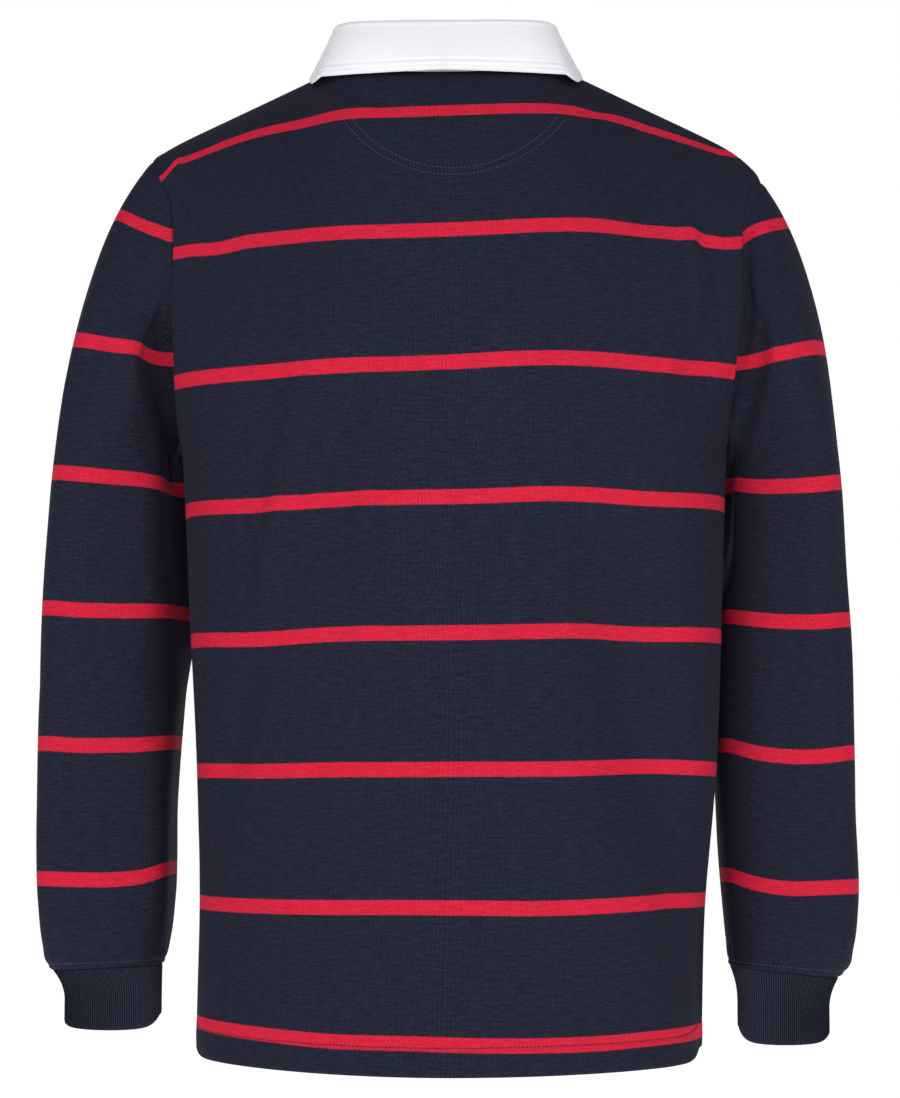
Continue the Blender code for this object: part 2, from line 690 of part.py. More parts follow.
def make_placket(name):
    """Placket strip on the front panel."""
    levels = body_levels()
    inside = (levels > PLACKET_BOTTOM_LEVEL) & (levels < PLACKET_TOP_LEVEL)
    rows = [PLACKET_BOTTOM_LEVEL, *levels[inside], PLACKET_TOP_LEVEL]
    x = np.linspace(PLACKET_HALF_WIDTH, -PLACKET_HALF_WIDTH, PLACKET_COLUMNS + 1)
    x, level = np.meshgrid(x, rows)
    middle = panel(FRONT, 0.5, level)[..., 0]
    slope = (panel(FRONT, 0.5 + STEP, level)[..., 0] - middle) / STEP
    across = 0.5 + (x - middle) / slope
    normal = panel_normal(FRONT, across, level)
    inner = on_grid(panel_faces(FRONT)[0], across, level) + normal * SEAM_GAP
    return wall(name, inner + normal * PLACKET_CLOTH, inner, WHITE)


def make_button(name, height):
    """Round button on the placket, its rim rounded."""
    across, level = panel_place(FRONT, np.array([0.0]), np.array([height]))
    point, normal = panel(FRONT, across, level)[0], panel_normal(FRONT, across, level)[0]
    lift = SEAM_GAP * 2 + PLACKET_CLOTH + BUTTON_THICKNESS / 2
    bpy.ops.mesh.primitive_cylinder_add(
        vertices=BUTTON_SIDES,
        radius=BUTTON_RADIUS,
        depth=BUTTON_THICKNESS,
        location=point + normal * lift,
    )
    button = bpy.context.object
    button.name = name
    button.rotation_euler = (np.arccos(normal[2]), 0, np.arctan2(normal[0], -normal[1]))
    button.data.materials.append(make_material(name, *BUTTON_WHITE))
    bevel = button.modifiers.new("rim", "BEVEL")
    bevel.width = BUTTON_BEVEL
    bevel.segments = 2
    button.data.shade_smooth()
    button.data.set_sharp_from_angle(angle=CREASE_ANGLE)
    return button


def main():
    """Clear the scene and build every piece."""
    for obj in list(bpy.data.objects):
        bpy.data.objects.remove(obj)
    wall("back", *panel_faces(BACK), NAVY)
    wall("front", *panel_faces(FRONT), NAVY)
    for arm, word in ((LEFT, "left"), (RIGHT, "right")):
        make_sleeve(f"sleeve_{word}", arm)
        make_cuff(f"cuff_{word}", arm)
    make_stand("collar_stand")
    make_leaf("collar_fall")
    make_patch("neck_patch")
    make_placket("placket")
    for number, height in enumerate(BUTTON_HEIGHTS, 1):
        make_button(f"button_{number}", height)


main()
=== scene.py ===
"""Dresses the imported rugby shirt: knitted shells with folds, stripes, seams, stitching and studio."""

import logging
import math
from collections.abc import Callable, Sequence
from dataclasses import dataclass, field
from enum import Enum

import bpy
import numpy as np
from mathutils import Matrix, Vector


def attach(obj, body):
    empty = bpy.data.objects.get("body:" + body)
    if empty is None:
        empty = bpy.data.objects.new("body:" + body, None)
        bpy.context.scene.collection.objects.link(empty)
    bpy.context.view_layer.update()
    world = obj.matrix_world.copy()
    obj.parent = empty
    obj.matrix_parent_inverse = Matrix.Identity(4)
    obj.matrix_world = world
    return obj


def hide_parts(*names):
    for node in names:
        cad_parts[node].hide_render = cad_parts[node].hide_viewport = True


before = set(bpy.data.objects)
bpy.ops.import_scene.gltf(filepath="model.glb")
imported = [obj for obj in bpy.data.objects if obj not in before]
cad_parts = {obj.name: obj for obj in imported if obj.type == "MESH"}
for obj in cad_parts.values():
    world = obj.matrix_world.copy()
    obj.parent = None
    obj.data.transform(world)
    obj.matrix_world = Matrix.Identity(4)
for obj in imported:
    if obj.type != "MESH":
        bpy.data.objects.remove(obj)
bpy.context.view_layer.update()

Array = np.ndarray
Material, Piece, Socket = bpy.types.Material, bpy.types.Object, bpy.types.NodeSocket
Table = tuple[tuple[float, ...], ...]
Pair = tuple[float, float]
Triple = tuple[float, float, float]
LOG = logging.getLogger("rugby_shirt")
STEP = 0.002  # step over which slopes are measured
SHARP_ANGLE = 60  # degrees above which an edge is shaded as a crease
FUZZ_ROUGHNESS = 0.30
FUZZ_TINT = (0.62, 0.68, 0.92, 1.0)
FOLD_ROWS = 13  # rows of the collar leaf over the stand's rim


class Side(Enum):
    """Body panel, valued by the way that it faces along Y."""

    BACK = 1
    FRONT = -1


class Arm(Enum):
    """Wearer's arm, valued by its side along X."""

    LEFT = 1
    RIGHT = -1

    @property
    def word(self) -> str:
        """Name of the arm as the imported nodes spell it."""
        return self.name.lower()


# ---- arithmetic of curves


def unit(vectors: Array) -> Array:
    """Scale vectors, given along the last axis, to length 1."""
    length = np.linalg.norm(vectors, axis=-1, keepdims=True)
    return vectors / np.maximum(length, 1e-12)


def blend(low: Array, high: Array, share: Array) -> Array:
    """Mix points, from low at share 0 to high at share 1."""
    return low + (high - low) * np.asarray(share)[..., None]


def hermite(start: Array, end: Array, leave: Array, arrive: Array, share: Array) -> Array:
    """Follow a cubic between two values with given end slopes.

    Args:
        start: Value at share 0.
        end: Value at share 1.
        leave: Slope at share 0.
        arrive: Slope at share 1.
        share: Place along the cubic, of the same shape as the values.

    Returns:
        The cubic's values.
    """
    s = share
    return (
        start * (2 * s**3 - 3 * s**2 + 1)
        + leave * (s**3 - 2 * s**2 + s)
        + end * (3 * s**2 - 2 * s**3)
        + arrive * (s**3 - s**2)
    )


def along(table: Table, place: Array) -> Array:
    """Read a table's other columns at any place of its first one.

    Args:
        table: Rows of numbers in rising order of the first column.
        place: Places to read.

    Returns:
        The other columns there, on a new last axis, by a cubic through the rows.
    """
    rows = np.array(table, float)
    keys, values = rows[:, 0], rows[:, 1:]
    slopes = np.gradient(values, keys, axis=0)
    place = np.asarray(place, float)
    row = np.clip(np.searchsorted(keys, place) - 1, 0, len(keys) - 2)
    span = (keys[row + 1] - keys[row])[..., None]
    share = (place - keys[row])[..., None] / span
    return hermite(values[row], values[row + 1], slopes[row] * span, slopes[row + 1] * span, share)


def bump(distance: Array) -> Array:
    """Give a hill: 1 at distance 0, falling to 0 at distance 1 and beyond."""
    return np.clip(1 - distance**2, 0, None) ** 2


def bell(distance: Array) -> Array:
    """Give a bell: 1 at distance 0, falling softly towards 0."""
    return np.exp(-(distance**2))


def ridge(shape: Triple, place: Array) -> Array:
    """Read a bell that is given by its size, middle and width."""
    size, middle, width = shape
    return size * bell((place - middle) / width)


def oval(angle: Array, power: float) -> tuple[Array, Array]:
    """Give cosine and sine of an angle, squared off by a power under 1."""
    cosine, sine = np.cos(angle), np.sin(angle)
    return np.sign(cosine) * np.abs(cosine) ** power, np.sign(sine) * np.abs(sine) ** power


def run_length(line: Array) -> Array:
    """Measure how far each point of a line lies from its start."""
    return np.concatenate([[0], np.cumsum(np.linalg.norm(np.diff(line, axis=0), axis=1))])


def round_turn(turn: Array) -> tuple[Array, Array]:
    """Give cosine and sine of angles in whole turns."""
    return np.cos(2 * np.pi * turn), np.sin(2 * np.pi * turn)


def ripple(x: Array, z: Array, seed: float) -> Array:
    """Give an uneven, gentle swell of the cloth.

    Args:
        x: Places along the cloth's width, in metres.
        z: Places along its length, in metres.
        seed: Phase that tells one piece from another.

    Returns:
        Heights between about -1 and 1.
    """
    return (
        0.42 * np.sin(31 * x + 9 * z + seed)
        + 0.30 * np.sin(47 * x - 23 * z + 2.1 * seed)
        + 0.18 * np.sin(13 * x + 52 * z + 3.7 * seed)
        + 0.10 * np.sin(83 * x + 35 * z + 5.3 * seed)
    )


@dataclass(frozen=True)
class Fold:
    """Soft ridge or trough of the cloth."""

    place: float  # middle, in metres from the trunk's middle or in turns round a sleeve
    height: float  # middle height
    half_width: float  # half width, in the unit of place
    half_length: float  # half length along the height
    depth: float  # how far it stands out, negative for a trough
    lean: float = 0.0  # how far it runs across for each metre up

    def hill(self, place: Array, height: Array, wrap: bool = False) -> Array:
        """Give the fold's height over the cloth.

        Args:
            place: Places across the cloth.
            height: Heights of the same points.
            wrap: Whether place counts turns, so that 1 meets 0.

        Returns:
            The heights in metres.
        """
        across = place - self.place - self.lean * (height - self.height)
        if wrap:
            across = np.mod(across + 0.5, 1) - 0.5
        hill = bump(across / self.half_width)
        return self.depth * hill * bump((height - self.height) / self.half_length)


# ---- the garment's form


@dataclass(frozen=True)
class Trunk:
    """Form of front and back, read through across (0 left to 1 right) and level (-1 to 1).

    A pair holds the value of the back or the left arm first, and a tip is out, back and up.
    """

    underarm: float = -0.285  # height of the underarm
    hem: float = -0.7590  # height of the hem's edge at the middle
    hem_rise: Pair = (0.0078, 0.0050)  # how much higher the edge lies at the left and the right side
    hem_power: float = 1.5  # how near to the sides it rises
    hem_corner: float = 0.0085  # how much more it rises right at the side seams
    hem_corner_power: float = 56  # how near to the seams it does so
    section_power: float = 2 / 2.3  # squareness of the cross-sections
    body: Table = (  # height, half width, half depth and middle of the cross-sections
        (-0.765, 0.1934, 0.1360, 0.0011),
        (-0.720, 0.1936, 0.1360, 0.0003),
        (-0.635, 0.1943, 0.1365, -0.0018),
        (-0.535, 0.2000, 0.1370, -0.0048),
        (-0.400, 0.2064, 0.1375, -0.0040),
        (-0.325, 0.2094, 0.1380, -0.0035),
        (-0.285, 0.2117, 0.1380, -0.0032),
    )
    tips: tuple[Triple, Triple] = (  # shoulder tips
        (0.2335, 0.0030, -0.0578),
        (-0.2440, 0.0030, -0.0774),
    )
    crowns: Pair = (0.0046, 0.0150)  # how far the shoulder seams swell up
    crown_power: float = 12  # how near to its tip a seam reaches that swell
    shoulder_share: float = 0.30  # share of the top edge that each shoulder seam takes
    neck_half_width: float = 0.0900  # half width of the neckline
    neck_middle: float = 0.0030  # its middle
    neck_side_height: float = 0.0155  # its height at the sides
    neck_depths: Pair = (0.0680, 0.0880)  # how far it reaches back and forward
    neck_heights: Pair = (-0.0013, -0.0640)  # its heights at the middle of back and front
    neck_powers: Pair = (2 / 2.7, 2 / 2.1)  # its squareness at back and front
    # how late the cloth above the underarm nears the top edge, for x, y and z
    rise_powers: Triple = (1.4, 2.3, 1.0)
    side_fade: float = 3  # how fast the armhole's own form fades away from the sides
    low_fade: float = 6  # how much faster it fades at the underarm
    soften: float = 0.10  # share of the top edge over which its corners are rounded halfway up
    # offsets and weights of that rounding
    soften_taps: Table = ((-1, 0.15), (-0.5, 0.22), (0, 0.26), (0.5, 0.22), (1, 0.15))
    armhole_depths: Pair = (0.052, 0.062)  # how far the armholes reach back and forward
    armhole_power: float = 0.9  # how square they are
    armholes: tuple[Table, Table] = (  # rise from underarm to tip, and how far out they lie there
        (
            *((0.00, 0.2085), (0.25, 0.2100), (0.50, 0.2118), (0.66, 0.2125)),
            *((0.74, 0.2158), (0.80, 0.2235), (0.87, 0.2305), (1.00, 0.2335)),
        ),
        (
            *((0.00, 0.2149), (0.25, 0.2170), (0.38, 0.2215), (0.50, 0.2250)),
            *((0.70, 0.2270), (0.85, 0.2320), (1.00, 0.2440)),
        ),
    )

    @staticmethod
    def pick(pair: Sequence, which: Enum) -> object:
        """Choose the value of a side (back, front) or an arm (left, right)."""
        return pair[0 if which.value == 1 else 1]

    def section(self, side: Side, across: Array, height: Array) -> Array:
        """Give points of a panel between hem and underarm.

        Args:
            side: The panel.
            across: Places from the left side seam to the right one.
            height: Heights of the points.

        Returns:
            The points.
        """
        half_width, half_depth, middle = np.moveaxis(along(self.body, height), -1, 0)
        cosine, sine = oval(np.pi * across, self.section_power)
        x = middle + half_width * cosine
        return np.stack([x, side.value * half_depth * sine, height + 0 * x], -1)

    def neck_curve(self, side: Side, angle: Array) -> Array:
        """Give points of the neckline.

        Args:
            side: The panel.
            angle: Angles from 0 at the left to pi at the right.

        Returns:
            The points.
        """
        cosine, sine = oval(angle, self.pick(self.neck_powers, side))
        drop = self.pick(self.neck_heights, side) - self.neck_side_height
        height = self.neck_side_height + drop * np.sin(angle) ** 2
        depth = side.value * self.pick(self.neck_depths, side) * sine
        return np.stack([self.neck_middle + self.neck_half_width * cosine, depth, height], -1)

    def top_edge(self, side: Side, across: Array) -> Array:
        """Give points of the panel's top: shoulder seam, neckline, shoulder seam.

        Args:
            side: The panel.
            across: Places along the top.

        Returns:
            The points.
        """
        neck = (across - self.shoulder_share) / (1 - 2 * self.shoulder_share)
        point = self.neck_curve(side, np.pi * np.clip(neck, 0, 1))
        for arm, reach in ((Arm.LEFT, across), (Arm.RIGHT, 1 - across)):
            share = np.clip(reach / self.shoulder_share, 0, 1)
            tip = np.array(self.pick(self.tips, arm))
            end = self.neck_curve(side, np.pi * np.array(arm is Arm.RIGHT))
            seam = blend(tip, end, share)
            crown = (1 - (1 - share) ** self.crown_power) * (1 - share)
            seam[..., 2] += self.pick(self.crowns, arm) * crown
            point = np.where((share < 1)[..., None], seam, point)
        return point

    def armhole(self, side: Side, arm: Arm, rise: Array) -> Array:
        """Give points of an armhole's back or front half.

        Args:
            side: The panel.
            arm: The arm.
            rise: Shares of the way from the underarm to the shoulder tip.

        Returns:
            The points.
        """
        out = along(self.pick(self.armholes, arm), rise)[..., 0]
        tip = self.pick(self.tips, arm)
        height = self.underarm + (tip[2] - self.underarm) * (1 - np.cos(np.pi * rise)) / 2
        swell = self.pick(self.armhole_depths, side) * np.sin(np.pi * rise) ** self.armhole_power
        return np.stack([arm.value * out, tip[1] * rise + side.value * swell, height], -1)

    def yoke(self, side: Side, across: Array, rise: Array) -> Array:
        """Give points of a panel above the underarm.

        Args:
            side: The panel.
            across: Places from left to right.
            rise: Shares of the way from the underarm to the top edge.

        Returns:
            The points.
        """
        powers = np.stack([rise**power for power in self.rise_powers], -1)

        def spanned(at: Array) -> Array:
            """Give points of the surface ruled between underarm and top edge."""
            low = self.section(side, at, self.underarm + 0 * rise)
            window = self.soften * rise * (1 - rise)
            top = sum(
                weight * self.top_edge(side, np.clip(at + window * offset, 0, 1))
                for offset, weight in self.soften_taps
            )
            return low + (top - low) * powers

        point = spanned(across)
        for arm, end in ((Arm.LEFT, 0.0), (Arm.RIGHT, 1.0)):
            miss = self.armhole(side, arm, rise) - spanned(end + 0 * across)
            fade = (1 - np.abs(across - end)) ** (self.side_fade + self.low_fade * (1 - rise) ** 2)
            point = point + miss * fade[..., None]
        return point

    def point(self, side: Side, across: Array, level: Array) -> Array:
        """Give points of a panel without its folds.

        Args:
            side: The panel.
            across: Places from left to right.
            level: Levels from -1 at the hem over 0 at the underarm to 1 at the top.

        Returns:
            The points.
        """
        across, level = np.broadcast_arrays(np.asarray(across, float), level)
        below, above = np.clip(-level, 0, 1), np.clip(level, 0, 1)
        rise = np.where(across < 0.5, *self.hem_rise)
        aside = np.abs(np.cos(np.pi * across))
        hem = self.hem + rise * aside**self.hem_power
        hem = hem + self.hem_corner * aside**self.hem_corner_power
        height = self.underarm + (hem - self.underarm) * below
        lower = self.section(side, across, height)
        return np.where((level < 0)[..., None], lower, self.yoke(side, across, above))


@dataclass(frozen=True)
class Tube:
    """Form of a sleeve, read through turn (0 outer side, 0.25 back) and drop (0 to 2)."""

    arm: Arm  # the arm
    rings: Table  # height, centre out, centre back, half width, half depth and lean of the rings
    spread: Triple  # how far the cap leaves the armhole outwards round the arm, as out, back and up
    trunk: Trunk  # the trunk that it is sewn to
    tilt: float  # how much higher the cuff seam lies on the inner side
    tilt_reach: float = 0.035  # height over which the sleeve follows that tilt
    top: float = -0.330  # height of the ring where the cap ends
    leave: Triple = (0.36, 0.0, -0.78)  # how the cap leaves the armhole all round, as out, back and up
    fullness: Pair = (2.75, 2.75)  # how square its rings are above and below the elbow, 2 being an ellipse
    # height below which the rings change, and heights over which they do and end it
    elbow: Triple = (-0.47, 0.12, 0.06)
    underarm_turn: float = 0.30  # how much more the cap leaves towards the trunk at the underarm
    underarm_power: int = 4  # how near to the underarm it does so
    # how much it leaves forward at the back of the underarm, at which turn and how wide
    plunge: Triple = (2.0, 0.37, 0.14)

    @property
    def bottom(self) -> float:
        """Height of the cuff seam."""
        return self.rings[0][0]

    def lift(self, turn: Array) -> Array:
        """Give how much higher the cuff seam lies at a turn than at the outer side."""
        return self.tilt * (1 - round_turn(turn)[0]) / 2

    def section(self, turn: Array, height: Array) -> Array:
        """Give points of a ring.

        Args:
            turn: Turns from the outer side round the back.
            height: Heights.

        Returns:
            The points.
        """
        out, back, half_width, half_depth, lean = np.moveaxis(along(self.rings, height), -1, 0)
        cosine, sine = round_turn(turn)
        start, change, end = self.elbow
        below = np.clip((start - height) / change, 0, 1) * np.clip((height - self.bottom) / end, 0, 1)
        power = self.fullness[0] + (self.fullness[1] - self.fullness[0]) * below
        full = (np.abs(cosine) ** power + np.abs(sine) ** power) ** (-1 / power)
        cosine, sine = full * cosine, full * sine
        x = self.arm.value * (out + half_width * cosine)
        return np.stack([x, back + half_depth * sine + lean * cosine, height + 0 * x], -1)

    def point(self, turn: Array, drop: Array) -> Array:
        """Give points of the sleeve without its folds.

        Args:
            turn: Turns from the outer side round the back.
            drop: 0 to 1 down the cap and 1 to 2 down the arm.

        Returns:
            The points.
        """
        turn, drop = np.broadcast_arrays(np.asarray(turn, float), drop)
        rise = np.abs(1 - 2 * np.mod(turn, 1))
        back = (np.mod(turn, 1) <= 0.5)[..., None]
        start = np.where(
            back,
            self.trunk.armhole(Side.BACK, self.arm, rise),
            self.trunk.armhole(Side.FRONT, self.arm, rise),
        )
        top = self.top + 0 * turn
        end = self.section(turn, top)
        length = np.linalg.norm(end - start, axis=-1)[..., None]
        cosine, sine = round_turn(turn)
        swing = np.stack([self.arm.value * cosine, sine, cosine], -1)
        leave = np.array(self.leave) * (self.arm.value, 1, 1) + np.array(self.spread) * swing
        inner_side = np.clip(-cosine, 0, 1) ** self.underarm_power
        leave[..., 0] -= self.arm.value * self.underarm_turn * inner_side
        amount, middle, half_width = self.plunge
        leave[..., 1] -= amount * bump((np.mod(turn, 1) - middle) / half_width)
        arrive = unit(self.section(turn, top - STEP) - end)
        share = np.clip(drop, 0, 1)[..., None]
        cap = hermite(start, end, leave * length, arrive * length, share)
        height = self.top + (self.bottom - self.top) * np.clip(drop - 1, 0, 1)
        arm = self.section(turn, height)
        arm[..., 2] += self.lift(turn) * bell((height - self.bottom) / self.tilt_reach)
        return np.where((drop < 1)[..., None], cap, arm)


@dataclass(frozen=True)
class StripeLines:
    """Heights of the stripes' middle lines over the cloth."""

    places: tuple[float, ...]  # distances from the trunk's middle, falling or rising
    lines: Table  # heights of each line at those places, the first one only a guide above the top

    def index(self, x: Array, z: Array) -> Array:
        """Give each point's place among the lines.

        Args:
            x: Places across.
            z: Heights.

        Returns:
            A whole number on each line and a smooth count between them.
        """
        order = np.argsort(self.places)
        places = np.array(self.places)[order]
        flat_x = np.clip(np.ravel(x), places[0], places[-1])
        flat_z = np.ravel(z)
        keys = np.stack(
            [
                along(tuple(zip(places, np.array(line)[order], strict=True)), flat_x)[:, 0]
                for line in self.lines
            ]
        )
        count = len(keys)
        slopes = np.empty_like(keys)
        slopes[1:-1] = 2 / (keys[2:] - keys[:-2])
        slopes[0], slopes[-1] = 1 / (keys[1] - keys[0]), 1 / (keys[-1] - keys[-2])
        low = np.clip((flat_z[None] < keys).sum(0) - 1, 0, count - 2)
        column = np.arange(flat_z.size)
        start, span = keys[low, column], keys[low + 1, column] - keys[low, column]
        share = (flat_z - start) / span
        inner = hermite(
            low, low + 1, slopes[low, column] * span, slopes[low + 1, column] * span, share
        )
        above = slopes[0] * (flat_z - keys[0])
        below = count - 1 + slopes[-1] * (flat_z - keys[-1])
        value = np.where(share < 0, above, np.where(share > 1, below, inner))
        return value.reshape(np.shape(z))


# ---- finishes


class Graph:
    """Small helper that builds one material's nodes."""

    def __init__(self, name: str) -> None:
        """Start a material with its shader.

        Args:
            name: Name of the material.
        """
        self.material = bpy.data.materials.new(name)
        self.material.use_nodes = True
        self.tree = self.material.node_tree
        self.shader = self.tree.nodes["Principled BSDF"]

    def node(self, kind: str, inputs: dict | None = None, **settings: object) -> bpy.types.Node:
        """Add a node.

        Args:
            kind: Blender's type name.
            inputs: Socket names or numbers and their values or sockets.
            **settings: Attributes of the node.

        Returns:
            The node.
        """
        node = self.tree.nodes.new(kind)
        for key, value in settings.items():
            setattr(node, key, value)
        for key, value in (inputs or {}).items():
            self.feed(node.inputs[key], value)
        return node

    def feed(self, socket: Socket, value: object) -> None:
        """Set or link a socket.

        Args:
            socket: The input.
            value: A number, a colour or an output socket.
        """
        if isinstance(value, Socket):
            self.tree.links.new(value, socket)
        else:
            socket.default_value = value

    def maths(self, operation: str, *values: object) -> Socket:
        """Add a Math node for numbers or sockets and give its result."""
        node = self.node("ShaderNodeMath", dict(enumerate(values)), operation=operation)
        return node.outputs[0]

    def mix(self, share: object, low: object, high: object) -> Socket:
        """Mix two colours.

        Args:
            share: Number or socket.
            low: Colour at share 0.
            high: Colour at share 1.

        Returns:
            The mixed colour.
        """
        node = self.node("ShaderNodeMix", data_type="RGBA")
        for name, value in (("Factor", share), ("A", low), ("B", high)):
            wanted = "VALUE" if name == "Factor" else "RGBA"
            socket = next(s for s in node.inputs if s.name == name and s.type == wanted)
            self.feed(socket, value)
        return next(s for s in node.outputs if s.type == "RGBA")

    def noise(self, vector: object, scale: float, detail: float = 2.0) -> Socket:
        """Add a noise and give its value."""
        inputs = {"Vector": vector, "Scale": scale, "Detail": detail}
        return self.node("ShaderNodeTexNoise", inputs).outputs[0]

    def cloth_axes(self) -> tuple[Socket, Socket]:
        """Read metres across the cloth, and metres or stripe counts along it."""
        uv = self.node("ShaderNodeUVMap", uv_map="cloth")
        parts = self.node("ShaderNodeSeparateXYZ", {0: uv.outputs[0]})
        return parts.outputs[0], parts.outputs[1]

    def combined(self, x: object, y: object) -> Socket:
        """Join two numbers or sockets to a vector."""
        return self.node("ShaderNodeCombineXYZ", {0: x, 1: y}).outputs[0]

    def grain(self, across: object, down: object, shape: Triple) -> Socket:
        """Add a noise, drawn out across the cloth by a share, with its scale and detail."""
        drawn = self.combined(self.maths("MULTIPLY", across, shape[0]), down)
        return self.noise(drawn, *shape[1:])

    def spread(self, value: object, ends: Pair) -> Socket:
        """Stretch values between two ends to 0 to 1."""
        return self.node("ShaderNodeMapRange", {0: value, 1: ends[0], 2: ends[1]}).outputs[0]

    def wave(self, place: object, pitch: float) -> Socket:
        """Give a sine wave of a pitch along the cloth, from -1 to 1."""
        return self.maths("SINE", self.maths("MULTIPLY", place, 2 * math.pi / pitch))

    def colour(self, socket: Socket) -> None:
        """Link the base colour."""
        self.feed(self.shader.inputs["Base Color"], socket)

    def raise_surface(self, height: object, strength: float, distance: float) -> None:
        """Bump the shader's normal by a height."""
        inputs = {"Height": height, "Strength": strength, "Distance": distance}
        self.feed(self.shader.inputs["Normal"], self.node("ShaderNodeBump", inputs).outputs[0])

    def surface(self, roughness: float, specular: float, sheen: float = 0.0) -> None:
        """Set the shader's plain numbers.

        Args:
            roughness: Roughness.
            specular: Specular level.
            sheen: Weight of the fuzz.
        """
        self.shader.inputs["Roughness"].default_value = roughness
        self.shader.inputs["Specular IOR Level"].default_value = specular
        self.shader.inputs["Sheen Weight"].default_value = sheen
        self.shader.inputs["Sheen Roughness"].default_value = FUZZ_ROUGHNESS
        self.shader.inputs["Sheen Tint"].default_value = FUZZ_TINT


Colour = tuple[float, float, float, float]


@dataclass(frozen=True)
class Jersey:
    """Heavy knitted jersey with stripes that follow the cloth's courses."""

    ground: Colour = (0.0215, 0.0222, 0.0405, 1.0)  # ground
    ground_dark: Colour = (0.0100, 0.0106, 0.0208, 1.0)  # its darker yarns, which also give the painted shade between the wales
    stripe: Colour = (0.630, 0.0205, 0.0520, 1.0)  # stripes
    stripe_dark: Colour = (0.455, 0.0115, 0.0325, 1.0)  # their darker yarns, which also give the painted shade between the wales
    half_stripe: float = 0.0545  # half width of a stripe, in stripe counts
    spacing: float = 0.1005  # metres from stripe to stripe
    soft_edge: float = 0.004  # half width of a stripe's soft edge, in stripe counts
    ragged: Pair = (900, 0.012)  # noise scale and size of its raggedness
    wale: float = 0.0018  # width of a knitted wale
    stray: Pair = (70, 0.0022)  # noise scale and size of the wales' wandering
    slub: Triple = (0.16, 620, 3)  # thick yarns: share drawn out, noise scale, detail
    heather: Pair = (560, 3)  # noise scale and detail of the mottling
    yarn_ends: Pair = (0.36, 0.64)  # range of slubs, mottling and painted wale shade between the two yarn colours
    wale_shade_share: float = 0.05  # how much the wales add to that, as painted shade between them
    relief: Triple = (2.0, 3.0, 0.5)  # weights of slubs, mottling and wales in the bump
    bump: Pair = (0.55, 0.00022)  # its strength and distance
    feel: Triple = (0.92, 0.05, 0.035)  # roughness, specular level and fuzz

    def build(self, name: str, stripes: int) -> Material:
        """Make the material.

        Args:
            name: Name of the material.
            stripes: Number of the last stripe on this piece.

        Returns:
            The material.
        """
        g = Graph(name)
        across, count = g.cloth_axes()
        down = g.maths("MULTIPLY", count, self.spacing)
        place = g.combined(across, down)
        stray = g.maths("SUBTRACT", g.noise(place, self.stray[0]), 0.5)
        wales = g.wave(g.maths("MULTIPLY_ADD", stray, self.stray[1], across), self.wale)
        ragged = g.maths("SUBTRACT", g.noise(place, self.ragged[0]), 0.5)
        ragged = g.maths("MULTIPLY", ragged, self.ragged[1])
        nearest = g.maths("ROUND", count)
        distance = g.maths("ABSOLUTE", g.maths("SUBTRACT", count, nearest))
        distance = g.maths("ADD", distance, ragged)
        edges = (self.half_stripe + self.soft_edge, self.half_stripe - self.soft_edge)
        band = g.spread(distance, edges)
        for operation, limit in (("GREATER_THAN", 0.5), ("LESS_THAN", stripes + 0.5)):
            band = g.maths("MULTIPLY", band, g.maths(operation, count, limit))
        slub = g.grain(across, down, self.slub)
        heather = g.noise(place, *self.heather)
        yarn = g.maths("ADD", g.maths("MULTIPLY", slub, 0.5), g.maths("MULTIPLY", heather, 0.5))
        # the wales lighten and darken the yarn colour: painted shade between the wales
        yarn = g.maths("MULTIPLY_ADD", wales, self.wale_shade_share, yarn)
        yarn = g.spread(yarn, self.yarn_ends)
        ground = g.mix(yarn, self.ground_dark, self.ground)
        stripe = g.mix(yarn, self.stripe_dark, self.stripe)
        g.colour(g.mix(band, ground, stripe))
        of_slub, of_heather, of_wales = self.relief
        relief = g.maths("MULTIPLY", wales, of_wales)
        relief = g.maths("MULTIPLY_ADD", heather, of_heather, relief)
        relief = g.maths("MULTIPLY_ADD", slub, of_slub, relief)
        g.raise_surface(relief, *self.bump)
        g.surface(*self.feel)
        return g.material


@dataclass(frozen=True)
class Ribbing:
    """Fine rib knit of the cuffs, whose ribs are in the mesh, with painted shade in their grooves."""

    ground: Colour = (0.0305, 0.0330, 0.0555, 1.0)  # colour of the raised ribs
    groove: Colour = (0.0070, 0.0078, 0.0145, 1.0)  # colour of the grooves, darker as painted shade
    course: float = 0.0012  # height of a knitted course
    grain: Triple = (0.24, 700, 3)  # mottling: share drawn out, noise scale, detail
    rib_share: float = 0.35  # how much the ribs set the colour, as painted shade in the grooves
    ends: Pair = (0.2, 0.85)  # range between groove and rib colour
    grain_relief: float = 2.0  # weight of the mottling in the bump
    bump: Pair = (0.35, 0.00015)  # its strength and distance
    feel: Triple = (0.92, 0.06, 0.030)  # roughness, specular level and fuzz

    def build(self, name: str, ribs: int) -> Material:
        """Make the material.

        Args:
            name: Name of the material.
            ribs: Number of ribs round the cuff.

        Returns:
            The material.
        """
        g = Graph(name)
        turn, down = g.cloth_axes()
        ridges = g.wave(turn, 1 / ribs)
        heather = g.grain(turn, down, self.grain)
        # the grooves take the darker colour: painted shade on top of the mesh's ribs
        share = g.spread(g.maths("MULTIPLY_ADD", ridges, self.rib_share, heather), self.ends)
        g.colour(g.mix(share, self.groove, self.ground))
        courses = g.wave(down, self.course)
        relief = g.maths("ADD", courses, g.maths("MULTIPLY", heather, self.grain_relief))
        g.raise_surface(relief, *self.bump)
        g.surface(*self.feel)
        return g.material


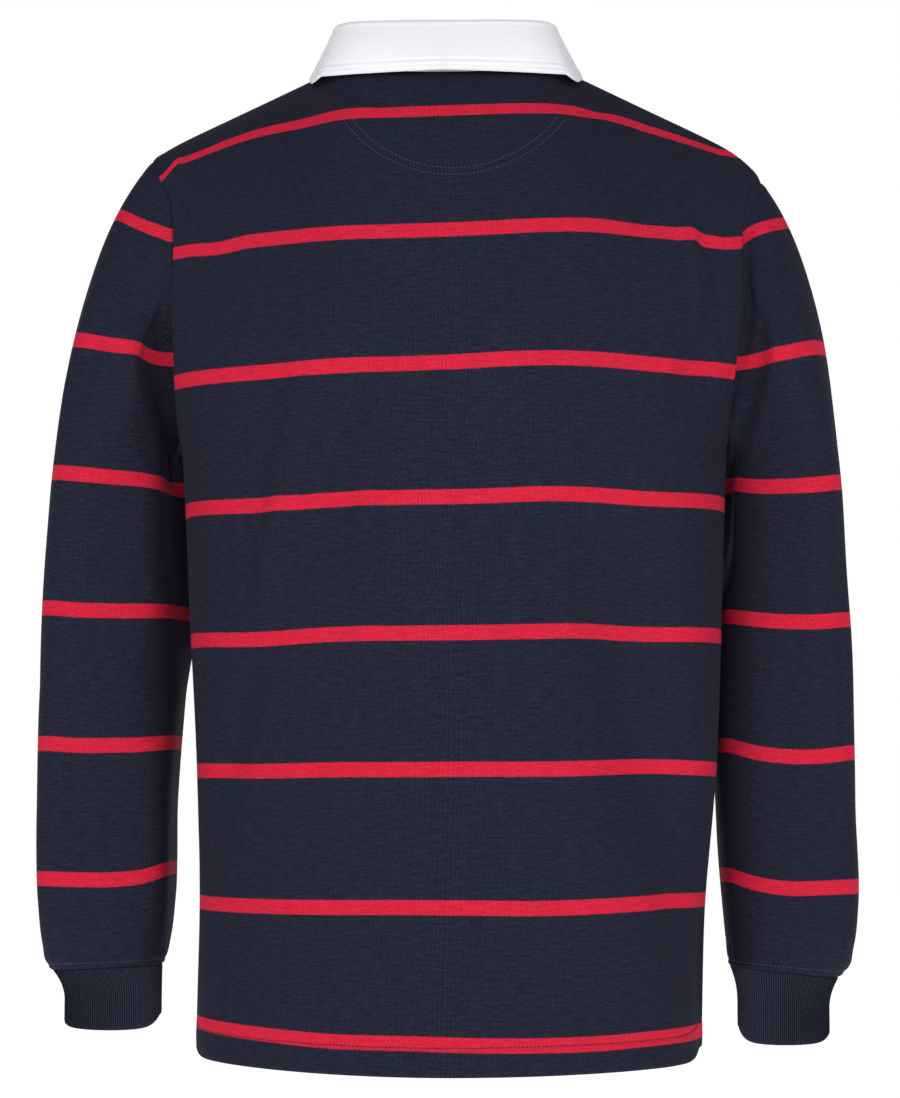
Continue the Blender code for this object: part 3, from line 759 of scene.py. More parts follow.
@dataclass(frozen=True)
class Twill:
    """White woven cotton of collar and placket."""

    light: Colour = (0.796, 0.804, 0.832, 1.0)  # colour of the raised yarns
    shade: Colour = (0.738, 0.747, 0.781, 1.0)  # colour between them
    pitch: float = 0.0011  # distance of the twill's ribs
    slant: float = 0.6  # how far the ribs lean
    thread: float = 0.8  # distance of the threads, as a share of the pitch
    grain: Triple = (0.08, 900, 2)  # slubs: share drawn out, noise scale, detail
    rib_share: float = 0.12  # how much the ribs set the colour
    ends: Pair = (0.2, 0.7)  # range between the two colours
    thread_relief: float = 0.4  # weight of the threads in the bump
    unevenness: Pair = (260, 2)  # noise scale and detail of the cloth's uneven face
    bump: Pair = (0.30, 0.00012)  # strength and distance of the bump
    feel: Triple = (0.72, 0.25, 0.08)  # roughness, specular level and fuzz

    def build(self, name: str) -> Material:
        """Make the material.

        Args:
            name: Name of the material.

        Returns:
            The material.
        """
        g = Graph(name)
        across, along_cloth = g.cloth_axes()
        ribs = g.wave(g.maths("MULTIPLY_ADD", across, self.slant, along_cloth), self.pitch)
        threads = g.wave(across, self.pitch * self.thread)
        place = g.combined(across, along_cloth)
        slub = g.grain(across, along_cloth, self.grain)
        share = g.spread(g.maths("MULTIPLY_ADD", ribs, self.rib_share, slub), self.ends)
        g.colour(g.mix(share, self.shade, self.light))
        relief = g.maths("MULTIPLY_ADD", threads, self.thread_relief, ribs)
        relief = g.maths("ADD", relief, g.noise(place, *self.unevenness))
        g.raise_surface(relief, *self.bump)
        g.surface(*self.feel)
        return g.material


@dataclass(frozen=True)
class Plain:
    """Yarn or moulded button with a slight variation of its colour."""

    light: Colour  # lighter colour
    dark: Colour  # darker colour
    roughness: float = 0.8  # roughness
    scale: float = 900.0  # noise scale of the variation
    detail: float = 2  # its detail
    specular: float = 0.35  # specular level
    bump: Pair = (0.25, 0.0001)  # strength and distance of the bump

    def build(self, name: str) -> Material:
        """Make the material.

        Args:
            name: Name of the material.

        Returns:
            The material.
        """
        g = Graph(name)
        place = g.node("ShaderNodeTexCoord").outputs["Object"]
        share = g.noise(place, self.scale, self.detail)
        g.colour(g.mix(share, self.dark, self.light))
        g.raise_surface(share, *self.bump)
        g.surface(self.roughness, self.specular)
        return g.material


# ---- meshes


@dataclass
class Cloth:
    """Wall of cloth between an outer and an inner grid of points."""

    outer: Array  # rows and columns of outer points
    inner: Array  # the matching inner points
    uv: Array  # coordinates of the cloth at each point, one column more if it is closed
    closed: bool = False  # whether the last column meets the first

    def faces(self) -> tuple[Array, Array]:
        """List the faces.

        Returns:
            The faces' points, and the places in the flattened uv of the same corners.
        """
        rows, columns = self.outer.shape[:2]
        count = rows * columns
        wide = self.uv.shape[1]
        last = columns if self.closed else columns - 1
        row, column = np.meshgrid(np.arange(rows - 1), np.arange(last), indexing="ij")
        row, column = row.ravel(), column.ravel()
        beside = (column + 1) % columns

        def corners(a: Array, b: Array, c: Array, d: Array) -> Array:
            """Stack four corners to faces."""
            return np.stack([a, b, c, d], -1)

        skin = corners(
            row * columns + column,
            row * columns + beside,
            (row + 1) * columns + beside,
            (row + 1) * columns + column,
        )
        skin_uv = corners(
            row * wide + column,
            row * wide + column + 1,
            (row + 1) * wide + column + 1,
            (row + 1) * wide + column,
        )
        faces, places = [skin, skin[:, ::-1] + count], [skin_uv, skin_uv[:, ::-1]]

        def close(start: Array, end: Array, start_uv: Array, end_uv: Array, way: int) -> None:
            """Join outer and inner points along a rim."""
            faces.append(corners(start, end, end + count, start + count)[:, ::way])
            places.append(corners(start_uv, end_uv, end_uv, start_uv)[:, ::way])

        across, down = np.arange(last), np.arange(rows - 1)
        for end, way in ((0, -1), (rows - 1, 1)):
            here, flat = end * columns, end * wide + across
            close(here + across, here + (across + 1) % columns, flat, flat + 1, way)
        for end, way in () if self.closed else ((0, 1), (columns - 1, -1)):
            here, flat = down * columns + end, down * wide + end
            close(here, here + columns, flat, flat + wide, way)
        return np.concatenate(faces), np.concatenate(places)

    def build(self, name: str, material: Material, flip: bool) -> Piece:
        """Make the object.

        Args:
            name: Name of the piece.
            material: Its material.
            flip: Whether the faces have to be turned to point outwards.

        Returns:
            The object.
        """
        faces, places = self.faces()
        if flip:
            faces, places = faces[:, ::-1], places[:, ::-1]
        points = np.concatenate([self.outer.reshape(-1, 3), self.inner.reshape(-1, 3)])
        return make_object(name, points, faces, material, self.uv.reshape(-1, 2)[places])


def ring_faces(rings: int, sides: int) -> Array:
    """List the faces of a tube.

    Args:
        rings: Number of its rings.
        sides: Number of points of each ring.

    Returns:
        Four points for each face, ring by ring.
    """
    ring = np.arange(rings - 1)[:, None] * sides
    side = np.arange(sides)
    beside = (side + 1) % sides
    corners = [ring + side, ring + beside, ring + sides + beside, ring + sides + side]
    return np.stack(corners, -1).reshape(-1, 4)


def make_object(
    name: str, points: Array, faces: Array, material: Material, uv: Array | None = None
) -> Piece:
    """Make a smooth mesh object.

    Args:
        name: Name of the piece.
        points: Its points.
        faces: Its faces, all with the same number of corners.
        material: Its material.
        uv: Cloth coordinates of each face corner.

    Returns:
        The object.
    """
    mesh = bpy.data.meshes.new(name)
    mesh.from_pydata(points.tolist(), [], faces.tolist())
    if uv is not None:
        layer = mesh.uv_layers.new(name="cloth")
        layer.data.foreach_set("uv", uv.astype(np.float32).ravel())
    mesh.shade_smooth()
    mesh.set_sharp_from_angle(angle=math.radians(SHARP_ANGLE))
    mesh.materials.append(material)
    obj = bpy.data.objects.new(name, mesh)
    bpy.context.scene.collection.objects.link(obj)
    return obj


def settle(obj: Piece, slot: str, *nodes: str) -> Piece:
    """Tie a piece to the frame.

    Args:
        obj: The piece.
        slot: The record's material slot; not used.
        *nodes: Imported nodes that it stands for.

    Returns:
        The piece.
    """
    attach(obj, "root")
    if nodes:
        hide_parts(*nodes)
    LOG.info("%s: %d faces, for %s", obj.name, len(obj.data.polygons), ", ".join(nodes) or "trim")
    return obj


def grid_normals(points: Array, closed: bool = False) -> Array:
    """Give the normals of a grid of points.

    Args:
        points: Rows and columns of points.
        closed: Whether the last column meets the first.

    Returns:
        Unit normals, along rows crossed with columns.
    """
    if closed:
        padded = np.concatenate([points[:, -1:], points, points[:, :1]], 1)
        columns = np.gradient(padded, axis=1)[:, 1:-1]
    else:
        columns = np.gradient(points, axis=1)
    return unit(np.cross(np.gradient(points, axis=0), columns))


def relax(points: Array, weight: Array, rounds: int) -> Array:
    """Even out a grid of points along its rows.

    Args:
        points: Rows and columns of points.
        weight: How far each one may move, from 0 to 1.
        rounds: Number of passes.

    Returns:
        The evened points.
    """
    points = points.copy()
    share = 0.5 * weight[:, 1:-1, None]
    for _ in range(rounds):
        middle = (points[:, :-2] + points[:, 2:]) / 2
        points[:, 1:-1] += share * (middle - points[:, 1:-1])
    return points


@dataclass
class Surface:
    """Finished outer face of a piece, for what is sewn on it."""

    points: Array  # rows and columns of points
    normals: Array  # their normals, pointing out
    rows: Array  # value of each row
    columns: Array  # value of each column

    def read(self, column: Array, row: Array) -> tuple[Array, Array]:
        """Read points and normals between the grid's own.

        Args:
            column: Values along the columns.
            row: Values along the rows.

        Returns:
            The points and their normals.
        """
        down = np.interp(row, self.rows, np.arange(len(self.rows)))
        over = np.interp(column, self.columns, np.arange(len(self.columns)))
        low_row = np.clip(down.astype(int), 0, len(self.rows) - 2)
        low_column = np.clip(over.astype(int), 0, len(self.columns) - 2)
        found = []
        for grid in (self.points, self.normals):
            low, high = (
                blend(grid[at, low_column], grid[at, low_column + 1], over - low_column)
                for at in (low_row, low_row + 1)
            )
            found.append(blend(low, high, down - low_row))
        return found[0], unit(found[1])


@dataclass
class Sewing:
    """Row upon row of single stitches, gathered to one piece."""

    radius: float = 0.00030  # radius of the thread
    pitch: float = 0.0030  # length of one stitch with its gap
    share: float = 0.78  # share of the pitch that the thread shows
    sides: int = 5  # sides of the thread
    profile: Table = (  # place along a stitch, and there its height and girth in radii
        (0.02, -0.9, 0.5),
        (0.22, 0.35, 0.95),
        (0.5, 0.6, 1.0),
        (0.78, 0.35, 0.95),
        (0.98, -0.9, 0.5),
    )
    points: list[Array] = field(default_factory=list)  # points of the stitches sewn so far

    def add(self, line: Array, normals: Array, lift: float = 0.0) -> None:
        """Sew along a line.

        Args:
            line: Points of the line on the cloth.
            normals: Directions out of the cloth there.
            lift: How far the thread's middle lies above the cloth.
        """
        run = run_length(line)
        count = max(int(run[-1] / self.pitch), 1)
        step = run[-1] / count
        place, rise, girth = np.array(self.profile).T
        place = place * self.share + (1 - self.share) / 2
        rise, girth = rise * self.radius + lift, girth * self.radius
        at = (np.arange(count)[:, None] + place) * step

        def read(values: Array) -> Array:
            """Read points along the line."""
            return np.stack([np.interp(at, run, values[:, axis]) for axis in range(3)], -1)

        middle, out = read(line), unit(read(normals))
        forward = unit(middle[:, -1:] - middle[:, :1])
        aside = unit(np.cross(forward + 0 * out, out))
        middle = middle + out * rise[:, None]
        cosine, sine = round_turn(np.arange(self.sides)[:, None] / self.sides)
        ring = out[:, :, None] * cosine + aside[:, :, None] * sine
        self.points.append(middle[:, :, None] + ring * girth[:, None, None])

    def build(self, name: str, material: Material) -> Piece:
        """Make the piece.

        Args:
            name: Its name.
            material: Its material.

        Returns:
            The object.
        """
        stitches = np.concatenate(self.points)
        count, rings, sides = stitches.shape[:3]
        start = np.arange(count)[:, None, None] * rings * sides
        faces = start + ring_faces(rings, sides)
        return make_object(name, stitches.reshape(-1, 3), faces.reshape(-1, 4), material)


# ---- pieces


def graded(fine: Sequence[float], middle: int) -> Array:
    """Place columns densely at both ends and evenly between.

    Args:
        fine: Places of the dense columns, from 0.
        middle: Number of even columns.

    Returns:
        Places from 0 to 1.
    """
    gap = fine[-1] - fine[-2]
    core = np.linspace(fine[-1] + gap, 1 - fine[-1] - gap, middle)
    return np.concatenate([fine, core, 1 - np.array(fine)[::-1]])


@dataclass(frozen=True)
class SeamLook:
    """Groove and roll of cloth beside a sewn seam."""

    groove: Triple = (0.0006, 0, 0.0015)  # its depth, distance from the seam and width
    roll: Triple = (0.0005, 0.0055, 0.0036)  # the same of the roll of turned-in cloth

    def height(self, distance: Array) -> Array:
        """Give the relief at a distance from the seam."""
        return ridge(self.roll, distance) - ridge(self.groove, distance)


@dataclass(frozen=True)
class HemLook:
    """Turned-up hem with its sewn line."""

    cloth: float = 0.0030  # thickness of the doubled cloth
    step: Pair = (0.0015, 0.001)  # height above the stitches where it starts, and over which it does
    groove: Triple = (0.00055, 0.0215, 0.0013)  # depth, height and width of the sewn line
    puff: Triple = (0.0004, 0.011, 0.008)  # size, height and width of the swell below them
    rounding: Pair = (0.0011, 0.0015)  # how far the edge is rounded off, and over which height

    @property
    def stitch(self) -> float:
        """Height of the stitches above the edge."""
        return self.groove[1]

    def height(self, above: Array) -> Array:
        """Give how far the cloth stands out at heights above the edge."""
        relief = ridge(self.puff, above) - ridge(self.groove, above)
        return relief - self.rounding[0] * self.end(above) ** 2

    def end(self, above: Array) -> Array:
        """Give 1 at the edge, falling to 0 where its rounding ends."""
        return np.clip(1 - above / self.rounding[1], 0, 1)

    def thickness(self, above: Array, cloth: float) -> Array:
        """Give the thickness at heights above the edge, for a given single cloth."""
        share = np.clip((self.stitch + self.step[0] - above) / self.step[1], 0, 1)
        return cloth + (self.cloth - cloth) * share - self.rounding[0] * self.end(above)


@dataclass(frozen=True)
class Gathers:
    """Fine pleats and sewn line of a sleeve above its cuff."""

    count: int = 34  # number of pleats
    wander: float = 3  # how far they stray, in radians
    weak: float = 0.6  # height of the weak pleats, the strong ones being 1
    groups: int = 7  # number of strong places round the arm
    # size, middle height above the seam and width of the pleated band
    pleats: Triple = (0.00045, 0.009, 0.010)
    groove: Triple = (0.0006, 0.0046, 0.0011)  # depth, height and width of the sewn line
    roll: Triple = (0.0006, 0.0022, 0.0016)  # size, height and width of the roll at the seam
    crease: Triple = (0.0004, 0, 0.0009)  # depth, height and width of the seam's own groove

    def height(self, turn: Array, above: Array) -> Array:
        """Give how far the cloth stands out near the cuff.

        Args:
            turn: Turns round the arm.
            above: Heights above the cuff seam.

        Returns:
            Heights of the relief in metres.
        """
        angle = 2 * np.pi * turn
        wave = np.sin(self.count * angle + self.wander * np.sin(angle))
        wave = wave * (self.weak + (1 - self.weak) * np.sin(self.groups * angle + 1))
        relief = wave * ridge(self.pleats, above) - ridge(self.groove, above)
        return relief + ridge(self.roll, above) - ridge(self.crease, above)


@dataclass
class Panel:
    """Front or back of the shirt."""

    side: Side  # which one
    trunk: Trunk  # its form
    folds: tuple[Fold, ...]  # its folds
    stripes: StripeLines  # its stripes
    pulls: tuple[Fold, ...] = ()  # places where the cloth is drawn down, so that its stripes hang lower
    seam: SeamLook = field(default_factory=SeamLook)  # its seams
    hem: HemLook = field(default_factory=HemLook)  # its hem
    cloth: float = 0.0016  # thickness of the cloth
    girth: float = 0.56  # width of the flat panel
    yoke_length: float = 0.24  # length from underarm to top
    seam_hold: float = 0.012  # how far from a seam its folds fade out
    swell: float = 0.0009  # height of the cloth's uneven swell
    swell_hold: float = 0.03  # how far from a seam the swell fades out
    hem_calm: Pair = (0.6, 0.1)  # how much it fades at the hem, and over which share of the lower part
    neck_tuck: Pair = (0.0006, 0.003)  # depth and width of the groove below the neckline
    even_out: int = 60  # rounds that even out the yoke's columns
    # share of the width beside the seams that stays, and over which it starts
    even_side: Pair = (0.03, 0.12)
    even_top: Pair = (0.99, 0.10)  # level that stays, and over which it starts
    even_low: float = 0.3  # share below the underarm over which it ends
    surface: Surface | None = None  # its finished outer face

    def above_hem(self, level: Array) -> Array:
        """Give heights above the hem's edge at levels of the lower part."""
        return (level + 1) * (self.trunk.underarm - self.trunk.hem)

    def grade(self) -> tuple[Array, Array]:
        """Place the columns and rows.

        Returns:
            Across and level of the grid.
        """
        near_seam = [0, 0.0015, 0.003, 0.005, 0.0075, 0.0105, 0.014]
        near_edge = np.array([0, 0.0006, 0.0015, 0.003, 0.006, 0.010, 0.014])
        near_top = np.array([0.018, 0.012, 0.008, 0.005, 0.0025, 0.001, 0])
        even_columns, even_below, even_above, gap = 158, 106, 78, 0.007
        tall = self.trunk.underarm - self.trunk.hem
        near_stitch = (self.hem.stitch + np.linspace(-0.0035, 0.0035, 8)) / tall
        below = np.linspace(near_stitch[-1] + gap, 1, even_below)
        lower = np.concatenate([near_edge / tall, near_stitch, below]) - 1
        above = np.linspace(0, 1 - near_top[0], even_above)
        rows = np.concatenate([lower, above[1:], 1 - near_top[1:]])
        return graded(near_seam, even_columns), rows

    def relief(self, across: Array, level: Array, point: Array) -> Array:
        """Give how far the cloth stands out of its plain form.

        Args:
            across: Places of the grid.
            level: Levels of the grid.
            point: Points of the plain form.

        Returns:
            Heights in metres.
        """
        x, z = point[..., 0], point[..., 2]
        rim = np.minimum(across, 1 - across) * self.girth
        top = (1 - level) * self.yoke_length
        sewn = (1 - bell(rim / self.seam_hold)) * (1 - bell(top / self.seam_hold))
        height = sewn * sum((fold.hill(x, z) for fold in self.folds), 0 * x)
        calm = (1 - bell(rim / self.swell_hold)) * (1 - bell(top / self.swell_hold))
        calm = calm * (1 - self.hem_calm[0] * bell((level + 1) / self.hem_calm[1]))
        height = height + self.swell * calm * ripple(x, z, 1.7 + self.side.value)
        height = height + self.seam.height(rim)
        shoulder = np.minimum(across, 1 - across) < self.trunk.shoulder_share
        tuck = -self.neck_tuck[0] * bell(top / self.neck_tuck[1])
        height = height + np.where(shoulder, self.seam.height(top), tuck)
        return height + self.hem.height(self.above_hem(level))

    def build(self, material: Material) -> Piece:
        """Make the panel.

        Args:
            material: Its material.

        Returns:
            The piece.
        """
        columns, rows = self.grade()
        across, level = np.meshgrid(columns, rows)
        plain = self.trunk.point(self.side, across, level)
        end = np.minimum(across, 1 - across)
        free = np.clip((end - self.even_side[0]) / self.even_side[1], 0, 1)
        free = free * np.clip((self.even_top[0] - level) / self.even_top[1], 0, 1)
        plain = relax(plain, free * np.clip(1 + level / self.even_low, 0, 1), self.even_out)
        facing = -self.side.value
        normal = grid_normals(plain) * facing
        outer = plain + normal * self.relief(across, level, plain)[..., None]
        normal = grid_normals(outer) * facing
        depth = self.hem.thickness(self.above_hem(level), self.cloth)
        x, z = plain[..., 0], plain[..., 2]
        drawn = sum((pull.hill(x, z) for pull in self.pulls), z)
        uv = np.stack([(across - 0.5) * self.girth, self.stripes.index(x, drawn)], -1)
        self.surface = Surface(outer, normal, rows, columns)
        name = f"{self.side.name.lower()}_shell"
        wall = Cloth(outer, outer - normal * depth[..., None], uv)
        obj = wall.build(name, material, flip=self.side is Side.FRONT)
        return settle(obj, "navy_jersey", self.side.name.lower())

    def place(self, x: Array, z: Array) -> tuple[Array, Array]:
        """Find across and level of points of the finished panel.

        Args:
            x: Their places along X.
            z: Their heights.

        Returns:
            Across and level.
        """
        rounds, damping, width = 14, 0.8, 0.42
        surface = self.surface
        middle = surface.points[:, len(surface.columns) // 2]
        level = np.interp(z, middle[:, 2], surface.rows)
        across = 0.5 - x / width
        for _ in range(rounds):
            here = surface.read(across, level)[0]
            right = surface.read(across + STEP, level)[0]
            up = surface.read(across, level + STEP)[0]
            slope_x = (right[..., 0] - here[..., 0]) / STEP
            slope_z = (up[..., 2] - here[..., 2]) / STEP
            across = np.clip(across + damping * (x - here[..., 0]) / slope_x, 0, 1)
            level = np.clip(level + damping * (z - here[..., 2]) / slope_z, -1, 1)
        return across, level


@dataclass
class Sleeve:
    """Sleeve of the shirt."""

    tube: Tube  # its form
    folds: tuple[Fold, ...]  # its folds
    stripes: StripeLines  # its stripes
    hollows: Table  # depth, distance from the armhole and width of the trough beside it, by turn
    seam: SeamLook = field(default_factory=SeamLook)  # its armhole seam
    seam_share: float = 0.5  # how much of that seam's roll and groove shows on the sleeve
    gathers: Gathers = field(default_factory=Gathers)  # its pleats and stitches above the cuff
    cloth: float = 0.0016  # thickness of the cloth
    girth: float = 0.36  # width of the flat sleeve
    cap_length: float = 0.24  # length of the cap
    starts: Pair = (1 / 7, 1 / 3)  # shares of the cap over which its folds and its swell start
    seam_hold: float = 0.004  # how far from the armhole the trough fades in
    tuck: Pair = (0.0012, 0.0007)  # how far its edge reaches back below the panels, and into them
    swell: float = 0.0009  # height of the cloth's uneven swell
    surface: Surface | None = None  # its finished outer face

    def grade(self) -> tuple[Array, Array]:
        """Place the columns and rows.

        Returns:
            Turn and drop of the grid.
        """
        near_armhole = [0, 0.003, 0.007, 0.012, 0.019, 0.028, 0.04]
        near_cuff = np.array([0.013, 0.0115, 0.010, *np.linspace(0.009, 0, 11)])
        columns, even_cap, even_arm = 132, 62, 88
        tall = self.tube.top - self.tube.bottom
        cap = np.linspace(0.055, 1, even_cap)
        arm = np.linspace(0.0042, tall - 0.0165, even_arm)
        arm = np.concatenate([arm, tall - near_cuff])
        return np.arange(columns) / columns, np.concatenate([near_armhole, cap, 1 + arm / tall])

    def relief(self, turn: Array, drop: Array, point: Array) -> Array:
        """Give how far the cloth stands out of its plain form.

        Args:
            turn: Turns of the grid.
            drop: Drops of the grid.
            point: Points of the plain form.

        Returns:
            Heights in metres.
        """
        z = point[..., 2]
        height = sum((fold.hill(turn, z, wrap=True) for fold in self.folds), 0 * z)
        height = height * np.clip(drop / self.starts[0], 0, 1)
        steps = np.linalg.norm(np.diff(point, axis=0, prepend=point[:1]), axis=-1)
        depth, middle, width = np.moveaxis(along(self.hollows, turn), -1, 0)
        away = np.cumsum(steps, axis=0)
        height = height - depth * bell((away - middle) / width) * (1 - bell(away / self.seam_hold))
        cosine, sine = round_turn(turn)
        radius, lean, seed = 0.05, 0.3, 4.2 + self.tube.arm.value
        swell = self.swell * ripple(radius * cosine + lean * z, radius * sine + z, seed)
        height = height + swell * np.clip(drop / self.starts[1], 0, 1)
        seam = self.seam_share * self.seam.height(drop * self.cap_length)
        height = height + np.where(drop < 1, seam, 0)
        return height + self.gathers.height(turn, z - self.tube.bottom - self.tube.lift(turn))

    def build(self, material: Material) -> Piece:
        """Make the sleeve.

        Args:
            material: Its material.

        Returns:
            The piece.
        """
        columns, rows = self.grade()
        turn, drop = np.meshgrid(columns, rows)
        plain = self.tube.point(turn, drop)
        facing = self.tube.arm.value
        normal = grid_normals(plain, closed=True) * facing
        outer = plain + normal * self.relief(turn, drop, plain)[..., None]
        outer[0] -= self.tuck[0] * unit(outer[1] - outer[0]) + self.tuck[1] * normal[0]
        normal = grid_normals(outer, closed=True) * facing
        count = self.stripes.index(np.abs(plain[..., 0]), outer[..., 2])
        turns = np.append(columns, 1.0)
        closing = [np.concatenate([grid, grid[:, :1]], 1) for grid in (outer, normal, count)]
        uv = np.stack([turns * self.girth + 0 * closing[2], closing[2]], -1)
        self.surface = Surface(*closing[:2], rows, turns)
        word = self.tube.arm.word
        wall = Cloth(outer, outer - normal * self.cloth, uv, closed=True)
        obj = wall.build(f"sleeve_{word}_shell", material, flip=self.tube.arm is Arm.RIGHT)
        return settle(obj, "navy_jersey", f"sleeve_{word}")


@dataclass
class Cuff:
    """Ribbed cuff."""

    tube: Tube  # form of its sleeve
    length: float  # length at the outer side
    draw: float  # how much narrower its lower part is on each side
    shift: float  # how far its lower part lies nearer to the trunk
    corners: Pair  # how far its edge rises at the outer and the inner side
    back_drop: float = 0.005  # how much lower the back hangs
    flare: float = 0.55  # share of the length over which it narrows
    cloth: float = 0.0018  # thickness
    ribs: int = 144  # number of ribs
    rib_height: float = 0.0007  # height of a rib
    gap: float = 0.0002  # air below the seam
    rounding: Pair = (0.0012, 0.002)  # how far its lower edge is rounded off, and over which height
    wander: float = 0.0005  # how far that edge wanders in and out

    def build(self, material: Material) -> Piece:
        """Make the cuff.

        Args:
            material: Its material.

        Returns:
            The piece.
        """
        near_edge = np.array([0, 0.0006, 0.0015, 0.003]) / self.length
        shares = np.concatenate([near_edge, np.linspace(0.12, 0.9, 11), 1 - near_edge[::-1]])
        sides = 8 * self.ribs
        columns = np.arange(sides) / sides
        turn, share = np.meshgrid(columns, shares)
        cosine, sine = round_turn(turn)
        arm = self.tube.arm.value
        outer = self.tube.section(turn, self.tube.bottom + 0 * turn)
        middle, half_width = along(self.tube.rings, self.tube.bottom)[..., [0, 2]]
        place = (np.abs(outer[..., 0]) - middle) / half_width
        outer_side, inner_side = np.clip(place, 0, 1) ** 8, np.clip(-place, 0, 1) ** 8
        low = self.length + self.back_drop * sine
        low = low - self.corners[0] * outer_side - self.corners[1] * inner_side
        outer[..., 2] += self.tube.lift(turn) * (1 - share) - self.gap - share * low
        outward = np.stack([arm * cosine, sine, 0 * turn], -1)
        ridge = self.rib_height * np.abs(np.sin(np.pi * self.ribs * turn)) ** 0.8
        down = share * self.length
        rounding = np.clip(1 - (self.length - down) / self.rounding[1], 0, 1) ** 2
        rounding = self.rounding[0] * rounding
        tuck = 0.0003 * bell(down / 0.0010)
        narrow = 1 - (1 - np.clip(share / self.flare, 0, 1)) ** 2
        wander = self.wander * np.sin(6 * np.pi * turn + 2) * share
        height = ridge - self.rib_height - rounding - tuck - self.draw * narrow + wander
        outer = outer + outward * height[..., None]
        outer[..., 0] -= arm * self.shift * narrow
        depth = self.cloth + ridge - self.rib_height
        inner = outer - outward * (depth - rounding)[..., None]
        across = np.append(columns, 1.0)
        uv = np.stack(np.meshgrid(across, shares * self.length), -1)
        wall = Cloth(outer, inner, uv, closed=True)
        word = self.tube.arm.word
        obj = wall.build(f"cuff_{word}_rib", material, flip=self.tube.arm is Arm.RIGHT)
        return settle(obj, "navy_rib", f"cuff_{word}")


